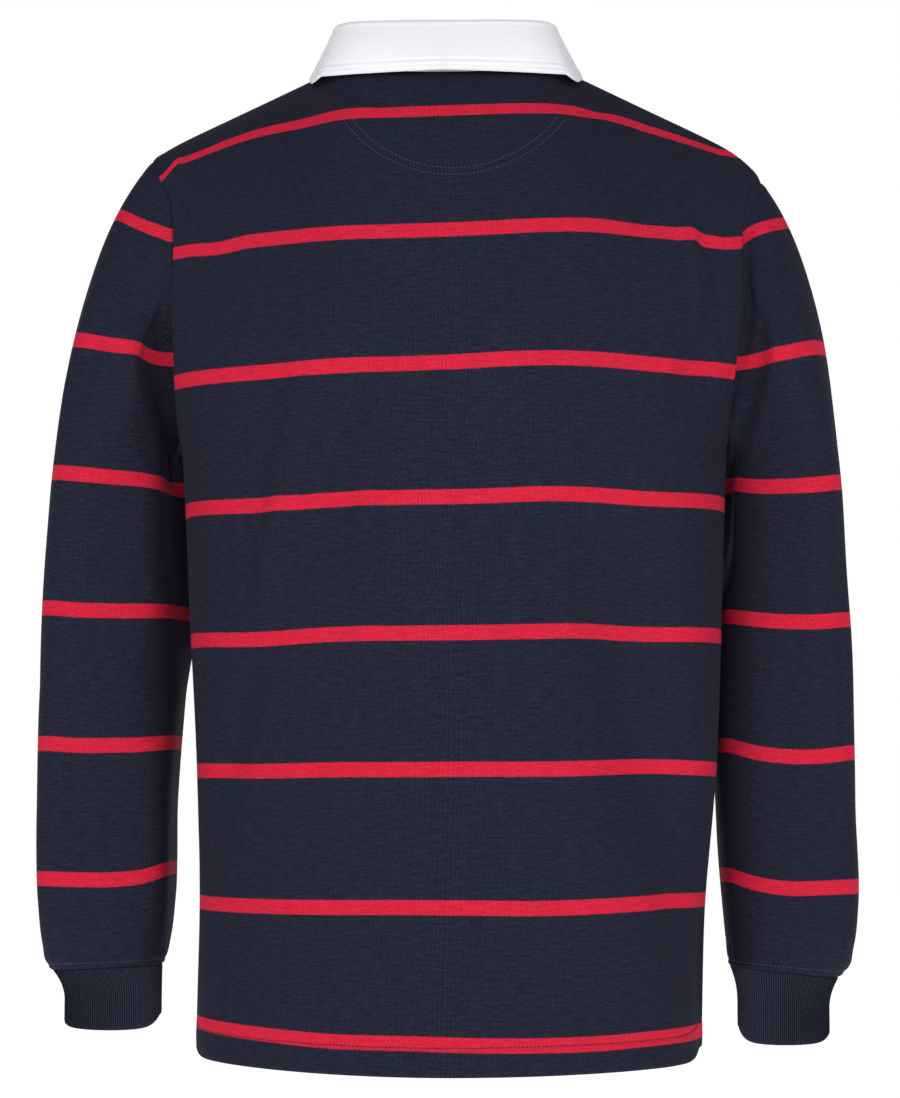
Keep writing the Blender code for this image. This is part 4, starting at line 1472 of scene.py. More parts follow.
@dataclass
class Collar:
    """Stand and leaf of the collar."""

    trunk: Trunk  # form that carries it
    panels: tuple[Panel, ...]  # finished front and back
    gap: float = 0.0008  # air between leaf and cloth
    rest: float = 0.6  # how far the leaf's corners sink onto the shoulders
    top_half_width: float = 0.0822  # half width of the stand's upper rim
    top_depths: Pair = (0.0600, 0.0830)  # depths of that rim at back and front
    top_heights: Pair = (0.0343, -0.0340)  # its heights at back and front
    top_side: float = 0.0395  # its height at the sides
    top_power: float = 2 / 4.0  # squareness of that rim
    cloth: float = 0.0020  # thickness of stand and leaf
    fold_radius: float = 0.0033  # radius of the leaf's fold over the rim
    bulge: float = 0.0016  # how far the leaf swells
    # depth, angle from the back and width of the hollows at its sides
    side_hollow: Triple = (0.0016, 78, 32)
    # depth, share of the leaf's height and width of the line that its stitches draw
    stitch: Triple = (0.0005, 0.82, 0.025)
    turning: Triple = (0.0006, 0.93, 0.018)  # the same of the groove beside its edge at the back
    edge_roll: Triple = (0.0003, 0.88, 0.04)  # the same of the roll between them
    edge_rounding: Triple = (0.0007, 1, 0.008)  # the same of the rounded edge
    wander: float = 0.0008  # how far the leaf wanders in and out at the back
    edge: Table = (  # angle from the middle front, then left, back and up of the leaf's lower edge
        (0, 0.0500, -0.1330, -0.1160),
        (25, 0.0750, -0.1280, -0.0980),
        (50, 0.1030, -0.0930, -0.0500),
        (72, 0.1055, -0.0380, -0.0010),
        (90, 0.1055, 0.0090, 0.0060),
        (110, 0.1000, 0.0430, 0.0010),
        (135, 0.0800, 0.0630, -0.0016),
        (160, 0.0450, 0.0735, -0.0020),
        (180, 0.0000, 0.0765, -0.0008),
    )
    leaf_start: float = 4.0  # angle where the leaf starts, in degrees
    stand_start: float = 1.5  # angle where the stand starts, in degrees
    stand_height: float = 0.038  # height of the flat stand
    stand_swell: float = 0.0006  # how far it swells
    columns: int = 300  # number of even columns
    leaf_surface: Surface | None = None  # finished outer face of the leaf

    def neckline(self, angle: Array) -> Array:
        """Give points of the neckline.

        Args:
            angle: Angles from the middle front, round by the left.

        Returns:
            The points.
        """
        turned = angle - np.pi / 2
        front = np.where(angle < np.pi, -turned, 2 * np.pi - turned)
        on_back = ((turned >= 0) & (turned <= np.pi))[..., None]
        back = self.trunk.neck_curve(Side.BACK, np.clip(turned, 0, np.pi))
        return np.where(on_back, back, self.trunk.neck_curve(Side.FRONT, front))

    def stand_top(self, angle: Array) -> Array:
        """Give points of the stand's upper rim.

        Args:
            angle: Angles from the middle front, round by the left.

        Returns:
            The points.
        """
        cosine, sine = oval(angle - np.pi / 2, self.top_power)
        back, front = np.clip(sine, 0, 1), np.clip(-sine, 0, 1)
        depth = self.top_depths[0] * back - self.top_depths[1] * front
        height = self.top_side + (self.top_heights[0] - self.top_side) * back**2
        height = height + (self.top_heights[1] - self.top_side) * front**2
        x = self.trunk.neck_middle + self.top_half_width * cosine
        return np.stack([x, depth, height], -1)

    def outward(self, angle: Array, curve: Callable[[Array], Array]) -> Array:
        """Give the level directions out of a ring round the neck, which curve draws."""
        run = curve(angle + STEP) - curve(angle - STEP)
        return unit(np.stack([run[..., 1], -run[..., 0], 0 * angle], -1))

    def angles(self, start: float) -> Array:
        """Place the columns round the neck.

        Args:
            start: Degrees that stay free beside the middle front.

        Returns:
            Angles in radians.
        """
        free = np.radians(start)
        shares = graded([0, 0.0008, 0.002, 0.004, 0.007], self.columns)
        return free + (2 * np.pi - 2 * free) * shares

    def leaf_edge(self, angle: Array) -> Array:
        """Give points of the leaf's lower edge.

        Args:
            angle: Angles from the middle front.

        Returns:
            The points.
        """
        degrees = np.degrees(angle)
        edge = along(self.edge, np.minimum(degrees, 360 - degrees))
        edge[..., 0] = self.trunk.neck_middle + edge[..., 0] * np.where(degrees <= 180, 1, -1)
        from_back = np.abs(degrees - 180)
        shoulder = np.clip((from_back - 60) / 25, 0, 1) * bump(from_back / 150)
        sunk = self.rest * np.clip(shoulder * 2, 0, 1)
        edge[..., 2] += sunk * (self.carried(edge) - edge[..., 2])
        return edge

    def carried(self, edge: Array) -> Array:
        """Find how high the shoulders carry the leaf's edge.

        Args:
            edge: Points of the edge.

        Returns:
            Heights of the leaf's outer face on the cloth below these points.
        """
        lowest, neighbours, window = -0.075, 6, 13
        cloth = np.concatenate([panel.surface.points.reshape(-1, 3) for panel in self.panels])
        cloth = cloth[cloth[:, 2] > lowest]
        distance = np.linalg.norm(edge[:, None, :2] - cloth[None, :, :2], axis=-1)
        near = np.argsort(distance, axis=1)[:, :neighbours]
        weight = 1 / (np.take_along_axis(distance, near, 1) ** 2 + 1e-7)
        height = (cloth[near, 2] * weight).sum(1) / weight.sum(1)
        padded = np.pad(height, window // 2, mode="edge")
        return np.convolve(padded, np.full(window, 1 / window), "valid") + self.cloth + self.gap

    def build_stand(self, material: Material) -> Piece:
        """Make the stand.

        Args:
            material: Its material.

        Returns:
            The piece.
        """
        angle = self.angles(self.stand_start)
        base, top = self.neckline(angle) + (0, 0, 0.0002), self.stand_top(angle)
        shares = np.array([0, 0.02, 0.05, 0.1, 0.2, 0.35, 0.5, 0.65, 0.8, 0.9, 0.96, 1.0])
        outer = np.stack([blend(base, top, share + 0 * angle) for share in shares])
        low, high = self.outward(angle, self.neckline), self.outward(angle, self.stand_top)
        normal = unit(np.stack([blend(low, high, share + 0 * angle) for share in shares]))
        swell = self.stand_swell * (np.sin(np.pi * shares) - bell(shares / 0.03))
        outer = outer + normal * swell[:, None, None]
        uv = np.stack(np.meshgrid(run_length(top), shares * self.stand_height), -1)
        wall = Cloth(outer, outer - normal * self.cloth, uv)
        stand = wall.build("collar_stand_cloth", material, flip=True)
        return settle(stand, "white_twill", "collar_stand")

    @property
    def leaf_shares(self) -> Array:
        """Shares of the leaf's height at its rows below the fold."""
        near_edge = [0.968, 0.984, 0.994, 1]
        return np.concatenate([np.linspace(0.05, 0.76, 14), np.linspace(0.79, 0.95, 9), near_edge])

    def build_leaf(self, material: Material) -> Piece:
        """Make the leaf, folded over the stand.

        Args:
            material: Its material.

        Returns:
            The piece.
        """
        angle = self.angles(self.leaf_start)
        rim, outward = self.stand_top(angle), self.outward(angle, self.stand_top)
        up = np.array([0, 0, 1])
        rows = []
        for turn in np.linspace(0, np.pi, FOLD_ROWS):
            out = self.fold_radius * (1 - np.cos(turn)) - self.cloth
            rows.append(rim + outward * out + up * (0.0003 + self.fold_radius * np.sin(turn)))
        fold, edge = rows[-1], self.leaf_edge(angle)
        from_back = np.degrees(np.abs(angle - np.pi))
        at_back = bell(from_back / 75)
        form = self.bulge - ridge(self.side_hollow, from_back)
        form = form + self.wander * np.sin(angle * 5 + 1.3) * bell(from_back / 60)
        for share in self.leaf_shares:
            seam = ridge(self.stitch, share) * (0.3 + 0.7 * at_back)
            seam = seam + ridge(self.turning, share) * at_back
            roll = ridge(self.edge_roll, share) - ridge(self.edge_rounding, share)
            height = form * np.sin(np.pi * share) - seam + roll
            rows.append(blend(fold, edge, share + 0 * angle) + outward * height[:, None])
        outer = np.stack(rows)
        normal = -grid_normals(outer)
        normal[0] = -outward
        places = np.concatenate([np.linspace(-0.010, 0, FOLD_ROWS), self.leaf_shares * 0.06])
        uv = np.stack(np.meshgrid(run_length(fold), places), -1)
        self.leaf_surface = Surface(outer, normal, np.arange(len(rows)) * 1.0, angle)
        wall = Cloth(outer, outer - normal * self.cloth, uv)
        leaf = wall.build("collar_leaf_cloth", material, flip=True)
        return settle(leaf, "white_twill", "collar_fall")

    def leaf_row(self, share: float) -> float:
        """Find the leaf's row at a share of its height, 0 at the fold and 1 at the edge."""
        shares = self.leaf_shares
        return float(np.interp(share, shares, np.arange(len(shares)) + FOLD_ROWS))


@dataclass
class NeckPatch:
    """Half-moon patch inside the back neck."""

    panel: Panel  # the back
    half_width: float = 0.0930  # half width of its curve
    top_half_width: float = 0.0820  # half width at the neckline
    depth: float = 0.0800  # depth of the curve
    corner: float = -0.0150  # height of its corners
    power: float = 0.6  # fullness of the curve
    top: float = 0.988  # level of its upper edge
    gap: float = 0.0004  # air between it and the back
    count: float = 9  # stripe count that it starts at, past the last stripe, so that it stays plain
    cloth: float = 0.0010  # thickness

    def build(self, material: Material) -> Piece:
        """Make the patch.

        Args:
            material: Its material.

        Returns:
            The piece.
        """
        trunk = self.panel.trunk
        share = np.sin(np.linspace(-np.pi / 2, np.pi / 2, 61))
        low_z = self.corner - self.depth * (1 - share**2) ** self.power
        low_across, low_level = self.panel.place(self.half_width * share, low_z)
        top = np.arccos(np.clip(share * self.top_half_width / trunk.neck_half_width, -1, 1))
        top_across = trunk.shoulder_share + (1 - 2 * trunk.shoulder_share) * top / np.pi
        rows = np.linspace(0, 1, 24)[:, None]
        across = low_across + (top_across - low_across) * rows
        level = low_level + (self.top - low_level) * rows
        points, normals = self.panel.surface.read(across, level)
        outer = points - normals * (self.panel.cloth + self.gap)
        uv = np.stack([self.half_width * share + 0 * rows, self.count + rows + 0 * share], -1)
        wall = Cloth(outer, outer - normals * self.cloth, uv)
        patch = wall.build("neck_patch_cloth", material, flip=False)
        return settle(patch, "navy_jersey", "neck_patch")


@dataclass
class Placket:
    """Placket strip with its buttonholes' surroundings."""

    panel: Panel  # the front
    half_width: float = 0.0185  # half width
    top: float = 0.990  # level of its upper end
    bottom: float = 0.24  # level of its lower end
    length: float = 0.18  # length of the flat strip
    gap: float = 0.0004  # air between it and the front
    rounding: Triple = (0.0007, 0, 0.0007)  # depth, distance from the edge and width of its rounded edge
    # depth, distance from the edge and width of the line that its stitches draw
    groove: Triple = (0.0003, 0.0028, 0.0009)
    cloth: float = 0.0015  # thickness
    surface: Surface | None = None  # its finished outer face

    def build(self, material: Material) -> Piece:
        """Make the strip.

        Args:
            material: Its material.

        Returns:
            The piece.
        """
        fine = np.array([0, 0.012, 0.03, 0.06, 0.10])
        share = np.concatenate([fine, np.linspace(0.15, 0.85, 15), 1 - fine[::-1]])
        ends = np.array([0, 0.002, 0.006, 0.012, 0.02])
        rows = np.concatenate([ends, np.linspace(0.03, 0.97, 70), 1 - ends[::-1]])
        levels = self.bottom + (self.top - self.bottom) * rows
        x, level = np.meshgrid(self.half_width * (1 - 2 * share), levels)
        surface = self.panel.surface
        middle = surface.read(0.5 + 0 * x, level)[0][..., 0]
        slope = (surface.read(0.5 + STEP + 0 * x, level)[0][..., 0] - middle) / STEP
        points, normals = surface.read(0.5 + (x - middle) / slope, level)
        side = np.minimum(share, 1 - share) * 2 * self.half_width
        end = np.minimum(rows, 1 - rows)[:, None] * self.length
        rim = np.minimum(side, end)
        lift = self.cloth + self.gap - ridge(self.rounding, rim) - ridge(self.groove, rim)
        outer = points + normals * lift[..., None]
        uv = np.stack([x, rows[:, None] * 0.17 + 0 * x], -1)
        self.surface = Surface(outer, normals, rows, share)
        wall = Cloth(outer, points + normals * 0.0001, uv)
        return settle(wall.build("placket_cloth", material, flip=True), "white_twill", "placket")


@dataclass
class Button:
    """Button sewn on with a square of thread."""

    radius: float = 0.0058  # its radius
    thickness: float = 0.0026  # its thickness
    spread: float = 0.0013  # distance of the thread's corners from the middle, across and up
    gap: float = 0.0006  # air between it and the placket
    sides: int = 48  # number of points round it
    well: float = 0.30  # height of its middle, in half thicknesses
    profile: Table = (  # radius and height of its rings, in radii and half thicknesses
        *((0.0, -1), (0.80, -1), (0.95, -0.7), (1.0, -0.1), (0.97, 0.6)),
        *((0.90, 1), (0.80, 0.95), (0.70, 0.45), (0.55, well), (0.0, well)),
    )

    def build(
        self, number: int, placket: Placket, height: float, finish: Material, yarn: Material
    ) -> None:
        """Make one button and the thread on it.

        Args:
            number: Its number, from the top.
            placket: The strip that carries it.
            height: Its height.
            finish: Material of the button.
            yarn: Material of the thread.
        """
        surface = placket.surface
        middle = surface.points[:, len(surface.columns) // 2]
        row = np.interp(height, middle[:, 2], surface.rows)
        point, normal = (value[0] for value in surface.read(np.array([0.5]), np.array([row])))
        right = unit(np.cross(np.array([0.0, 0.0, 1.0]), normal))
        up = np.cross(normal, right)
        half = self.thickness / 2
        cosine, sine = round_turn(np.arange(self.sides)[:, None] / self.sides)
        rings = [
            point
            + normal * (self.gap + half + rise * half)
            + self.radius * out * (cosine * right + sine * up)
            for out, rise in self.profile
        ]
        points, faces = np.concatenate(rings), ring_faces(len(rings), self.sides)
        button = make_object(f"button_{number}_disc", points, faces, finish)
        settle(button, "white_button", f"button_{number}")
        thread = Sewing(radius=0.00035, pitch=0.0026, share=0.96)
        base = point + normal * (self.gap + half + self.well * half + 0.0001)
        for way in (-1, 1):
            ends = np.stack([base + self.spread * (way * right + i * up) for i in (-1, 1)])
            thread.add(ends, np.stack([normal, normal]))
            ends = np.stack([base + self.spread * (i * right + way * up) for i in (-1, 1)])
            thread.add(ends, np.stack([normal, normal]))
        settle(thread.build(f"button_{number}_thread", yarn), "white_twill")


# ---- studio


@dataclass(frozen=True)
class Studio:
    """Camera, lights and floor."""

    azimuth: float = 182.0  # direction of the camera round the shirt, in degrees
    distance: float = 2.45  # its distance from the upright axis
    height: float = -0.56  # its height
    tilt: float = 4.595  # how far it looks up, in degrees
    lens: float = 103.62  # focal length
    floor: float = -1.45  # height of the floor
    aim: float = -0.38  # height that the lights face
    ambient: float = 0.345  # strength of the white surround's light
    glow: float = 0.72  # strength of the floor's own light
    # name, place, side length and watts of the soft lights
    lights: tuple[tuple[str, Triple, float, float], ...] = (
        ("key_left", (2.2, 2.9, 0.7), 1.5, 23),
        ("key_right", (-2.2, 2.9, 0.6), 1.6, 26.8),
        ("near_camera", (0.0, 3.3, 0.7), 2.0, 28.6),
        ("far_side", (0.4, -3.4, 0.9), 2.4, 60),
    )

    def camera(self) -> None:
        """Place the camera."""
        data = bpy.data.cameras.new("camera")
        data.lens = self.lens
        data.sensor_width = 36.0
        obj = bpy.data.objects.new("camera", data)
        azimuth, tilt = math.radians(self.azimuth), math.radians(self.tilt)
        away = Vector((math.sin(azimuth), -math.cos(azimuth), 0))
        obj.location = away * self.distance + Vector((0, 0, self.height))
        back = away * math.cos(tilt) - Vector((0, 0, math.sin(tilt)))
        obj.rotation_euler = (-back).to_track_quat("-Z", "Y").to_euler()
        bpy.context.scene.collection.objects.link(obj)
        bpy.context.scene.camera = obj

    def light(self, name: str, place: Triple, size: float, power: float) -> None:
        """Hang a soft light that faces the shirt.

        Args:
            name: Its name.
            place: Where it hangs.
            size: Its side length.
            power: Its power in watts.
        """
        data = bpy.data.lights.new(name, "AREA")
        data.size = size
        data.energy = power
        obj = bpy.data.objects.new(name, data)
        obj.location = place
        aim = Vector((0, 0, self.aim)) - obj.location
        obj.rotation_euler = aim.to_track_quat("-Z", "Y").to_euler()
        bpy.context.scene.collection.objects.link(obj)

    def world(self) -> None:
        """Set a white surround."""
        world = bpy.data.worlds.new("studio")
        world.use_nodes = True
        nodes, links = world.node_tree.nodes, world.node_tree.links
        output = nodes["World Output"]
        shown, lighting = nodes["Background"], nodes.new("ShaderNodeBackground")
        shown.inputs[0].default_value = (1, 1, 1, 1)
        shown.inputs[1].default_value = 1.0
        lighting.inputs[0].default_value = (1, 1, 1, 1)
        lighting.inputs[1].default_value = self.ambient
        path, mix = nodes.new("ShaderNodeLightPath"), nodes.new("ShaderNodeMixShader")
        links.new(path.outputs["Is Camera Ray"], mix.inputs[0])
        links.new(lighting.outputs[0], mix.inputs[1])
        links.new(shown.outputs[0], mix.inputs[2])
        links.new(mix.outputs[0], output.inputs[0])
        bpy.context.scene.world = world

    def ground(self) -> None:
        """Lay the pale floor."""
        sides, radius = 64, 30
        angle = 2 * np.pi * np.arange(sides) / sides
        points = [(radius * math.cos(a), radius * math.sin(a), self.floor) for a in angle]
        mesh = bpy.data.meshes.new("floor")
        mesh.from_pydata(points, [], [tuple(range(sides))])
        g = Graph("floor_paper")
        place = g.node("ShaderNodeTexCoord").outputs["Object"]
        tone = g.noise(place, 3.0, 2)
        g.colour(g.mix(tone, (0.90, 0.90, 0.90, 1), (0.93, 0.93, 0.93, 1)))
        g.surface(0.9, 0.1)
        g.shader.inputs["Emission Color"].default_value = (1, 1, 1, 1)
        g.shader.inputs["Emission Strength"].default_value = self.glow
        mesh.materials.append(g.material)
        obj = bpy.data.objects.new("floor", mesh)
        bpy.context.scene.collection.objects.link(obj)

    def build(self) -> None:
        """Set up the whole studio."""
        self.camera()
        self.ground()
        self.world()
        for light in self.lights:
            self.light(*light)
        bpy.context.scene.view_settings.view_transform = "Standard"


# ---- the shirt


BODY_STRIPES = StripeLines(
    places=(0.205, 0.140, 0.080, 0.030, -0.030, -0.075, -0.110, -0.160, -0.210),
    lines=(
        (-0.0280, 0.0150, 0.0340, 0.0340, 0.0320, 0.0320, 0.0260, 0.0050, -0.0200),
        (-0.0623, -0.0426, -0.0376, -0.0388, -0.0367, -0.0338, -0.0300, -0.0412, -0.0555),
        (-0.1393, -0.1360, -0.1354, -0.1356, -0.1339, -0.1304, -0.1284, -0.1300, -0.1323),
        (-0.2383, -0.2388, -0.2375, -0.2366, -0.2345, -0.2320, -0.2319, -0.2335, -0.2325),
        (-0.3357, -0.3389, -0.3368, -0.3359, -0.3350, -0.3330, -0.3331, -0.3344, -0.3317),
        (-0.4358, -0.4387, -0.4363, -0.4358, -0.4354, -0.4344, -0.4339, -0.4350, -0.4328),
        (-0.5350, -0.5365, -0.5357, -0.5357, -0.5354, -0.5353, -0.5344, -0.5334, -0.5345),
        (-0.6349, -0.6361, -0.6362, -0.6359, -0.6363, -0.6366, -0.6356, -0.6338, -0.6338),
        (-0.7246, -0.7294, -0.7333, -0.7341, -0.7356, -0.7358, -0.7353, -0.7329, -0.7328),
    ),
)
SLEEVE_PLACES = (0.215, 0.235, 0.260, 0.285, 0.310)
SLEEVE_STRIPES = {
    Arm.LEFT: StripeLines(
        places=SLEEVE_PLACES,
        lines=(
            (-0.0250, -0.0180, -0.0100, 0.0000, 0.0050),
            (-0.1237, -0.1152, -0.1017, -0.0900, -0.0850),
            (-0.2172, -0.2126, -0.2092, -0.2033, -0.1980),
            (-0.3139, -0.3117, -0.3105, -0.3085, -0.3050),
            (-0.4114, -0.4124, -0.4128, -0.4123, -0.4099),
            (-0.5127, -0.5149, -0.5157, -0.5158, -0.5142),
            (-0.6091, -0.6161, -0.6188, -0.6188, -0.6181),
        ),
    ),
    Arm.RIGHT: StripeLines(
        places=SLEEVE_PLACES,
        lines=(
            (-0.0350, -0.0280, -0.0200, -0.0080, -0.0020),
            (-0.1371, -0.1227, -0.1105, -0.0980, -0.0920),
            (-0.2259, -0.2219, -0.2175, -0.2107, -0.2040),
            (-0.3128, -0.3175, -0.3189, -0.3179, -0.3125),
            (-0.4159, -0.4197, -0.4221, -0.4222, -0.4190),
            (-0.5156, -0.5215, -0.5246, -0.5244, -0.5212),
            (-0.6152, -0.6216, -0.6251, -0.6246, -0.6239),
        ),
    ),
}
# place, height, half width, half length, depth and lean of the folds
BACK_FOLDS = (
    Fold(-0.09, -0.47, 0.012, 0.19, 0.004, 0.03),
    Fold(-0.144, -0.48, 0.048, 0.20, -0.015, 0.10),
    Fold(-0.177, -0.64, 0.028, 0.15, -0.0085, 0.12),
    Fold(0.056, -0.37, 0.018, 0.16, 0.0062),
    Fold(0.125, -0.36, 0.017, 0.18, 0.0072, -0.14),
    Fold(0.15, -0.49, 0.019, 0.15, -0.0055, -0.26),
    Fold(0.076, -0.20, 0.038, 0.07, 0.0045),
    Fold(-0.04, -0.205, 0.03, 0.07, 0.0036),
    Fold(-0.15, -0.095, 0.034, 0.055, -0.0045),
    Fold(-0.187, -0.15, 0.01, 0.06, 0.004, 0.12),
    Fold(-0.20, -0.165, 0.01, 0.07, -0.0042, 0.12),
    Fold(-0.188, -0.225, 0.02, 0.06, -0.006, -0.20),
    Fold(0.065, -0.022, 0.018, 0.02, -0.002, 1.6),
    Fold(-0.118, -0.024, 0.02, 0.022, -0.002, -1.2),
)
BACK_PULLS = (
    Fold(0.227, -0.075, 0.018, 0.06, 0.016),
    Fold(0.174, -0.137, 0.024, 0.04, 0.0022),
    Fold(-0.208, -0.133, 0.022, 0.04, 0.003),
)
FRONT_FOLDS = (
    Fold(0.14, -0.33, 0.02, 0.20, 0.0045),
    Fold(-0.15, -0.38, 0.022, 0.22, 0.0045),
    Fold(0.06, -0.60, 0.024, 0.14, -0.0035),
    Fold(-0.07, -0.64, 0.022, 0.11, 0.003),
)
SLEEVE_FOLDS = {
    Arm.LEFT: (
        Fold(0.10, -0.20, 0.045, 0.11, 0.0035),
        Fold(0.12, -0.085, 0.03, 0.045, 0.0025),
        Fold(0.43, -0.35, 0.11, 0.14, -0.014),
        Fold(0.32, -0.235, 0.08, 0.095, -0.011, -1.60),
        Fold(0.27, -0.20, 0.09, 0.07, -0.006, -1.50),
        Fold(0.24, -0.174, 0.06, 0.012, 0.0024),
        Fold(0.80, -0.38, 0.05, 0.15, -0.004),
        Fold(0.12, -0.56, 0.05, 0.09, -0.0025),
        Fold(0.28, -0.64, 0.04, 0.05, 0.0015),
    ),
    Arm.RIGHT: (
        Fold(0.06, -0.43, 0.045, 0.15, 0.0035),
        Fold(0.165, -0.145, 0.055, 0.08, -0.006, -1.45),
        Fold(0.29, -0.23, 0.06, 0.08, -0.009, -1.55),
        Fold(0.43, -0.33, 0.06, 0.08, -0.008),
        Fold(0.40, -0.297, 0.07, 0.012, -0.003),
        Fold(0.80, -0.40, 0.05, 0.15, -0.004),
        Fold(0.14, -0.59, 0.05, 0.08, -0.0025),
    ),
}
HOLLOWS = {  # turn, and there depth, distance from the armhole and width
    Arm.LEFT: (
        (0.00, 0.0, 0.012, 0.010), (0.14, 0.0, 0.012, 0.010),
        (0.20, 0.0010, 0.012, 0.010), (0.26, 0.0060, 0.012, 0.009),
        (0.33, 0.0080, 0.011, 0.008), (0.40, 0.0050, 0.010, 0.008),
        (0.47, 0.0, 0.010, 0.008), (0.50, 0.0, 0.010, 0.008),
        (0.53, 0.0, 0.010, 0.008), (1.00, 0.0, 0.010, 0.008),
    ),
    Arm.RIGHT: (
        (0.00, 0.0, 0.010, 0.008), (0.06, 0.0010, 0.010, 0.008),
        (0.12, 0.0050, 0.011, 0.010), (0.18, 0.0080, 0.011, 0.010),
        (0.25, 0.0095, 0.010, 0.009), (0.31, 0.0080, 0.009, 0.008),
        (0.38, 0.0030, 0.009, 0.007), (0.46, 0.0, 0.009, 0.007),
        (0.50, 0.0, 0.009, 0.007), (0.54, 0.0, 0.009, 0.007),
        (1.00, 0.0, 0.009, 0.007),
    ),
}
# height, centre out, centre back, half width, half depth and lean of the sleeves' rings
LEFT_RINGS = (
    (-0.690, 0.2704, -0.042, 0.0424, 0.0365, 0.000),
    (-0.684, 0.2709, -0.041, 0.0455, 0.0414, 0.001),
    (-0.670, 0.2706, -0.039, 0.0479, 0.0450, 0.003),
    (-0.635, 0.2702, -0.036, 0.0507, 0.0480, 0.004),
    (-0.555, 0.2699, -0.032, 0.0519, 0.0520, 0.006),
    (-0.480, 0.2668, -0.030, 0.0541, 0.0590, 0.012),
    (-0.400, 0.2598, -0.027, 0.0581, 0.0640, 0.016),
    (-0.330, 0.2573, -0.024, 0.0543, 0.0670, 0.018),
)
RIGHT_RINGS = (
    (-0.695, 0.2590, -0.042, 0.0420, 0.0390, 0.000),
    (-0.688, 0.2618, -0.042, 0.0462, 0.0432, 0.001),
    (-0.672, 0.2632, -0.041, 0.0490, 0.0475, 0.004),
    (-0.640, 0.2637, -0.039, 0.0519, 0.0520, 0.006),
    (-0.555, 0.2595, -0.036, 0.0533, 0.0560, 0.009),
    (-0.480, 0.2578, -0.033, 0.0521, 0.0600, 0.012),
    (-0.400, 0.2576, -0.032, 0.0484, 0.0660, 0.018),
    (-0.330, 0.2574, -0.031, 0.0466, 0.0700, 0.021),
)
BUTTON_HEIGHTS = (-0.098, -0.150, -0.202)
NEEDLE_LINES = ((0.0925, 0.0765), (0.0865, 0.0710))  # half width and depth of the patch's two rows
LAST_BODY_STRIPE = 8
LAST_SLEEVE_STRIPE = 6


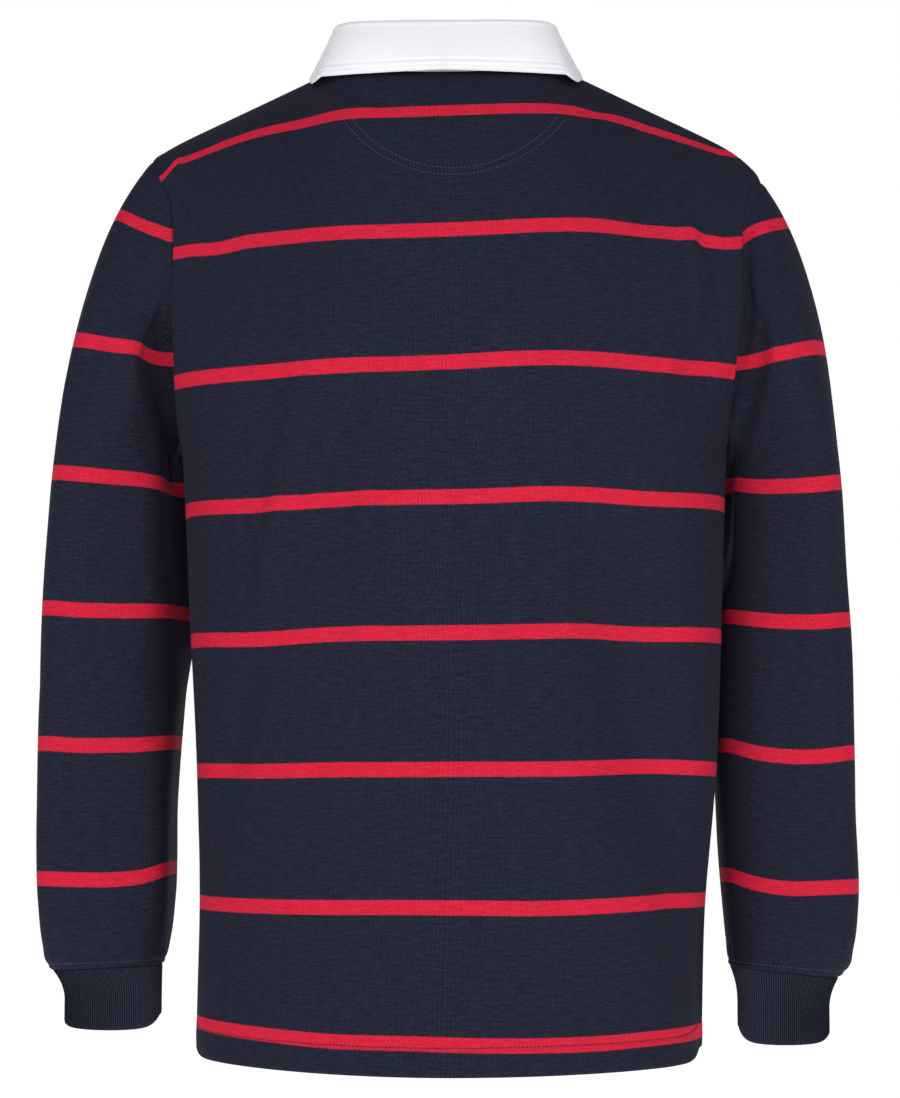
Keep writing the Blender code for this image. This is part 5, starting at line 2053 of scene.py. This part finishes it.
@dataclass
class Shirt:
    """The whole shirt, built piece by piece."""

    trunk: Trunk = field(default_factory=Trunk)  # form of its body

    def panels(self, jersey: Jersey) -> dict[Side, Panel]:
        """Build front and back.

        Args:
            jersey: Their cloth.

        Returns:
            The panels.
        """
        material = jersey.build("navy_jersey_body", LAST_BODY_STRIPE)
        made = {
            Side.BACK: Panel(Side.BACK, self.trunk, BACK_FOLDS, BODY_STRIPES, BACK_PULLS),
            Side.FRONT: Panel(Side.FRONT, self.trunk, FRONT_FOLDS, BODY_STRIPES),
        }
        for side, panel in made.items():
            obj = panel.build(material)
            LOG.info("%s panel is in place", side.name)
        return made

    def sleeves(self, jersey: Jersey, ribbing: Ribbing) -> dict[Arm, Sleeve]:
        """Build sleeves and cuffs.

        Args:
            jersey: The sleeves' cloth.
            ribbing: The cuffs' cloth.

        Returns:
            The sleeves.
        """
        left = Tube(
            arm=Arm.LEFT,
            rings=LEFT_RINGS,
            spread=(0.21, 0.12, 0.14),
            trunk=self.trunk,
            tilt=0.0043,
            fullness=(2.75, 5.2),
            plunge=(2.0, 0.395, 0.165),
        )
        right = Tube(
            arm=Arm.RIGHT,
            rings=RIGHT_RINGS,
            spread=(0.14, 0.12, 0.14),
            trunk=self.trunk,
            tilt=0.0090,
            plunge=(0.5, 0.33, 0.13),
        )
        cuffs = {
            Arm.LEFT: Cuff(left, length=0.0405, draw=0.0050, shift=0.0046, corners=(0.0010, 0.0042)),
            Arm.RIGHT: Cuff(right, length=0.0455, draw=0.0066, shift=0.0008, corners=(0.0040, 0.0055)),
        }
        cloth = jersey.build("navy_jersey_sleeve", LAST_SLEEVE_STRIPE)
        rib = ribbing.build("navy_rib_knit", Cuff.ribs)
        made = {}
        for arm, tube in zip(Arm, (left, right), strict=True):
            made[arm] = Sleeve(tube, SLEEVE_FOLDS[arm], SLEEVE_STRIPES[arm], HOLLOWS[arm])
            made[arm].build(cloth)
            cuffs[arm].build(rib)
        return made

    def collar(self, panels: dict[Side, Panel], twill: Material) -> Collar:
        """Build stand and leaf.

        Args:
            panels: Front and back.
            twill: Their material.

        Returns:
            The collar.
        """
        collar = Collar(self.trunk, tuple(panels.values()))
        collar.build_stand(twill)
        collar.build_leaf(twill)
        return collar

    def build(self) -> None:
        """Build every piece in order."""
        jersey = Jersey()
        twill = Twill().build("white_cotton_twill")
        panels = self.panels(jersey)
        sleeves = self.sleeves(jersey, Ribbing())
        collar = self.collar(panels, twill)
        plain_jersey = jersey.build("navy_jersey_patch", LAST_BODY_STRIPE)
        patch = NeckPatch(panels[Side.BACK]).build(plain_jersey)
        placket = Placket(panels[Side.FRONT])
        placket.build(twill)
        white = Plain((0.86, 0.86, 0.88, 1), (0.74, 0.74, 0.77, 1)).build("white_thread")
        disc = Plain((0.80, 0.80, 0.79, 1), (0.74, 0.74, 0.74, 1), 0.35, 60).build("white_button_rubber")
        for number, height in enumerate(BUTTON_HEIGHTS, 1):
            Button().build(number, placket, height, disc, white)
        self.sew(panels, sleeves, collar, placket, white)

    def sew(
        self,
        panels: dict[Side, Panel],
        sleeves: dict[Arm, Sleeve],
        collar: Collar,
        placket: Placket,
        white: Material,
    ) -> None:
        """Sew all visible rows of stitches.

        Args:
            panels: Front and back.
            sleeves: Both sleeves.
            collar: The collar.
            placket: The placket.
            white: Material of the white thread.
        """
        navy = Plain((0.058, 0.068, 0.120, 1), (0.032, 0.038, 0.068, 1)).build("navy_thread")
        dark = Plain((0.016, 0.017, 0.030, 1), (0.010, 0.011, 0.020, 1)).build("dark_thread")
        hem, rows = Sewing(radius=0.00034), Sewing(radius=0.00033, pitch=0.0030, share=0.7)
        white_rows = Sewing(radius=0.00026)
        for panel in panels.values():
            tall = panel.trunk.underarm - panel.trunk.hem
            across = np.linspace(0.002, 0.998, 400)
            level = -1 + panel.hem.stitch / tall + 0 * across
            hem.add(*panel.surface.read(across, level), lift=0.0001)
        for sleeve in sleeves.values():
            tall = sleeve.tube.top - sleeve.tube.bottom
            turn = np.linspace(0, 1, 200)
            drop = 2 - sleeve.gathers.groove[1] / tall + 0 * turn
            rows.add(*sleeve.surface.read(turn, drop), lift=0.0001)
        back = panels[Side.BACK]
        share = np.sin(np.linspace(-1.14, 1.14, 150))
        for half, depth in NEEDLE_LINES:
            x, z = half * share - 0.0060, -0.0150 - depth * (1 - share**2) ** 0.6
            rows.add(*back.surface.read(*back.place(x, z)))
        angle = collar.leaf_surface.columns[6:-6]
        row = collar.leaf_row(collar.stitch[1]) + 0 * angle
        white_rows.add(*collar.leaf_surface.read(angle, row))
        column = np.linspace(0.02, 0.98, 120)
        for side in (0.075, 0.925):
            white_rows.add(*placket.surface.read(side + 0 * column, column))
        over = np.linspace(0.08, 0.92, 30)
        for end in (0.02, 0.13):
            white_rows.add(*placket.surface.read(over, end + 0 * over))
        settle(hem.build("hem_stitches", dark), "navy_jersey")
        settle(rows.build("navy_stitches", navy), "navy_jersey")
        settle(white_rows.build("white_stitches", white), "white_twill")


def main() -> None:
    """Build the studio and the shirt."""
    logging.basicConfig(level=logging.INFO, format="%(message)s")
    Studio().build()
    Shirt().build()
    LOG.info("all pieces are in place")


if __name__ == "__main__":
    main()
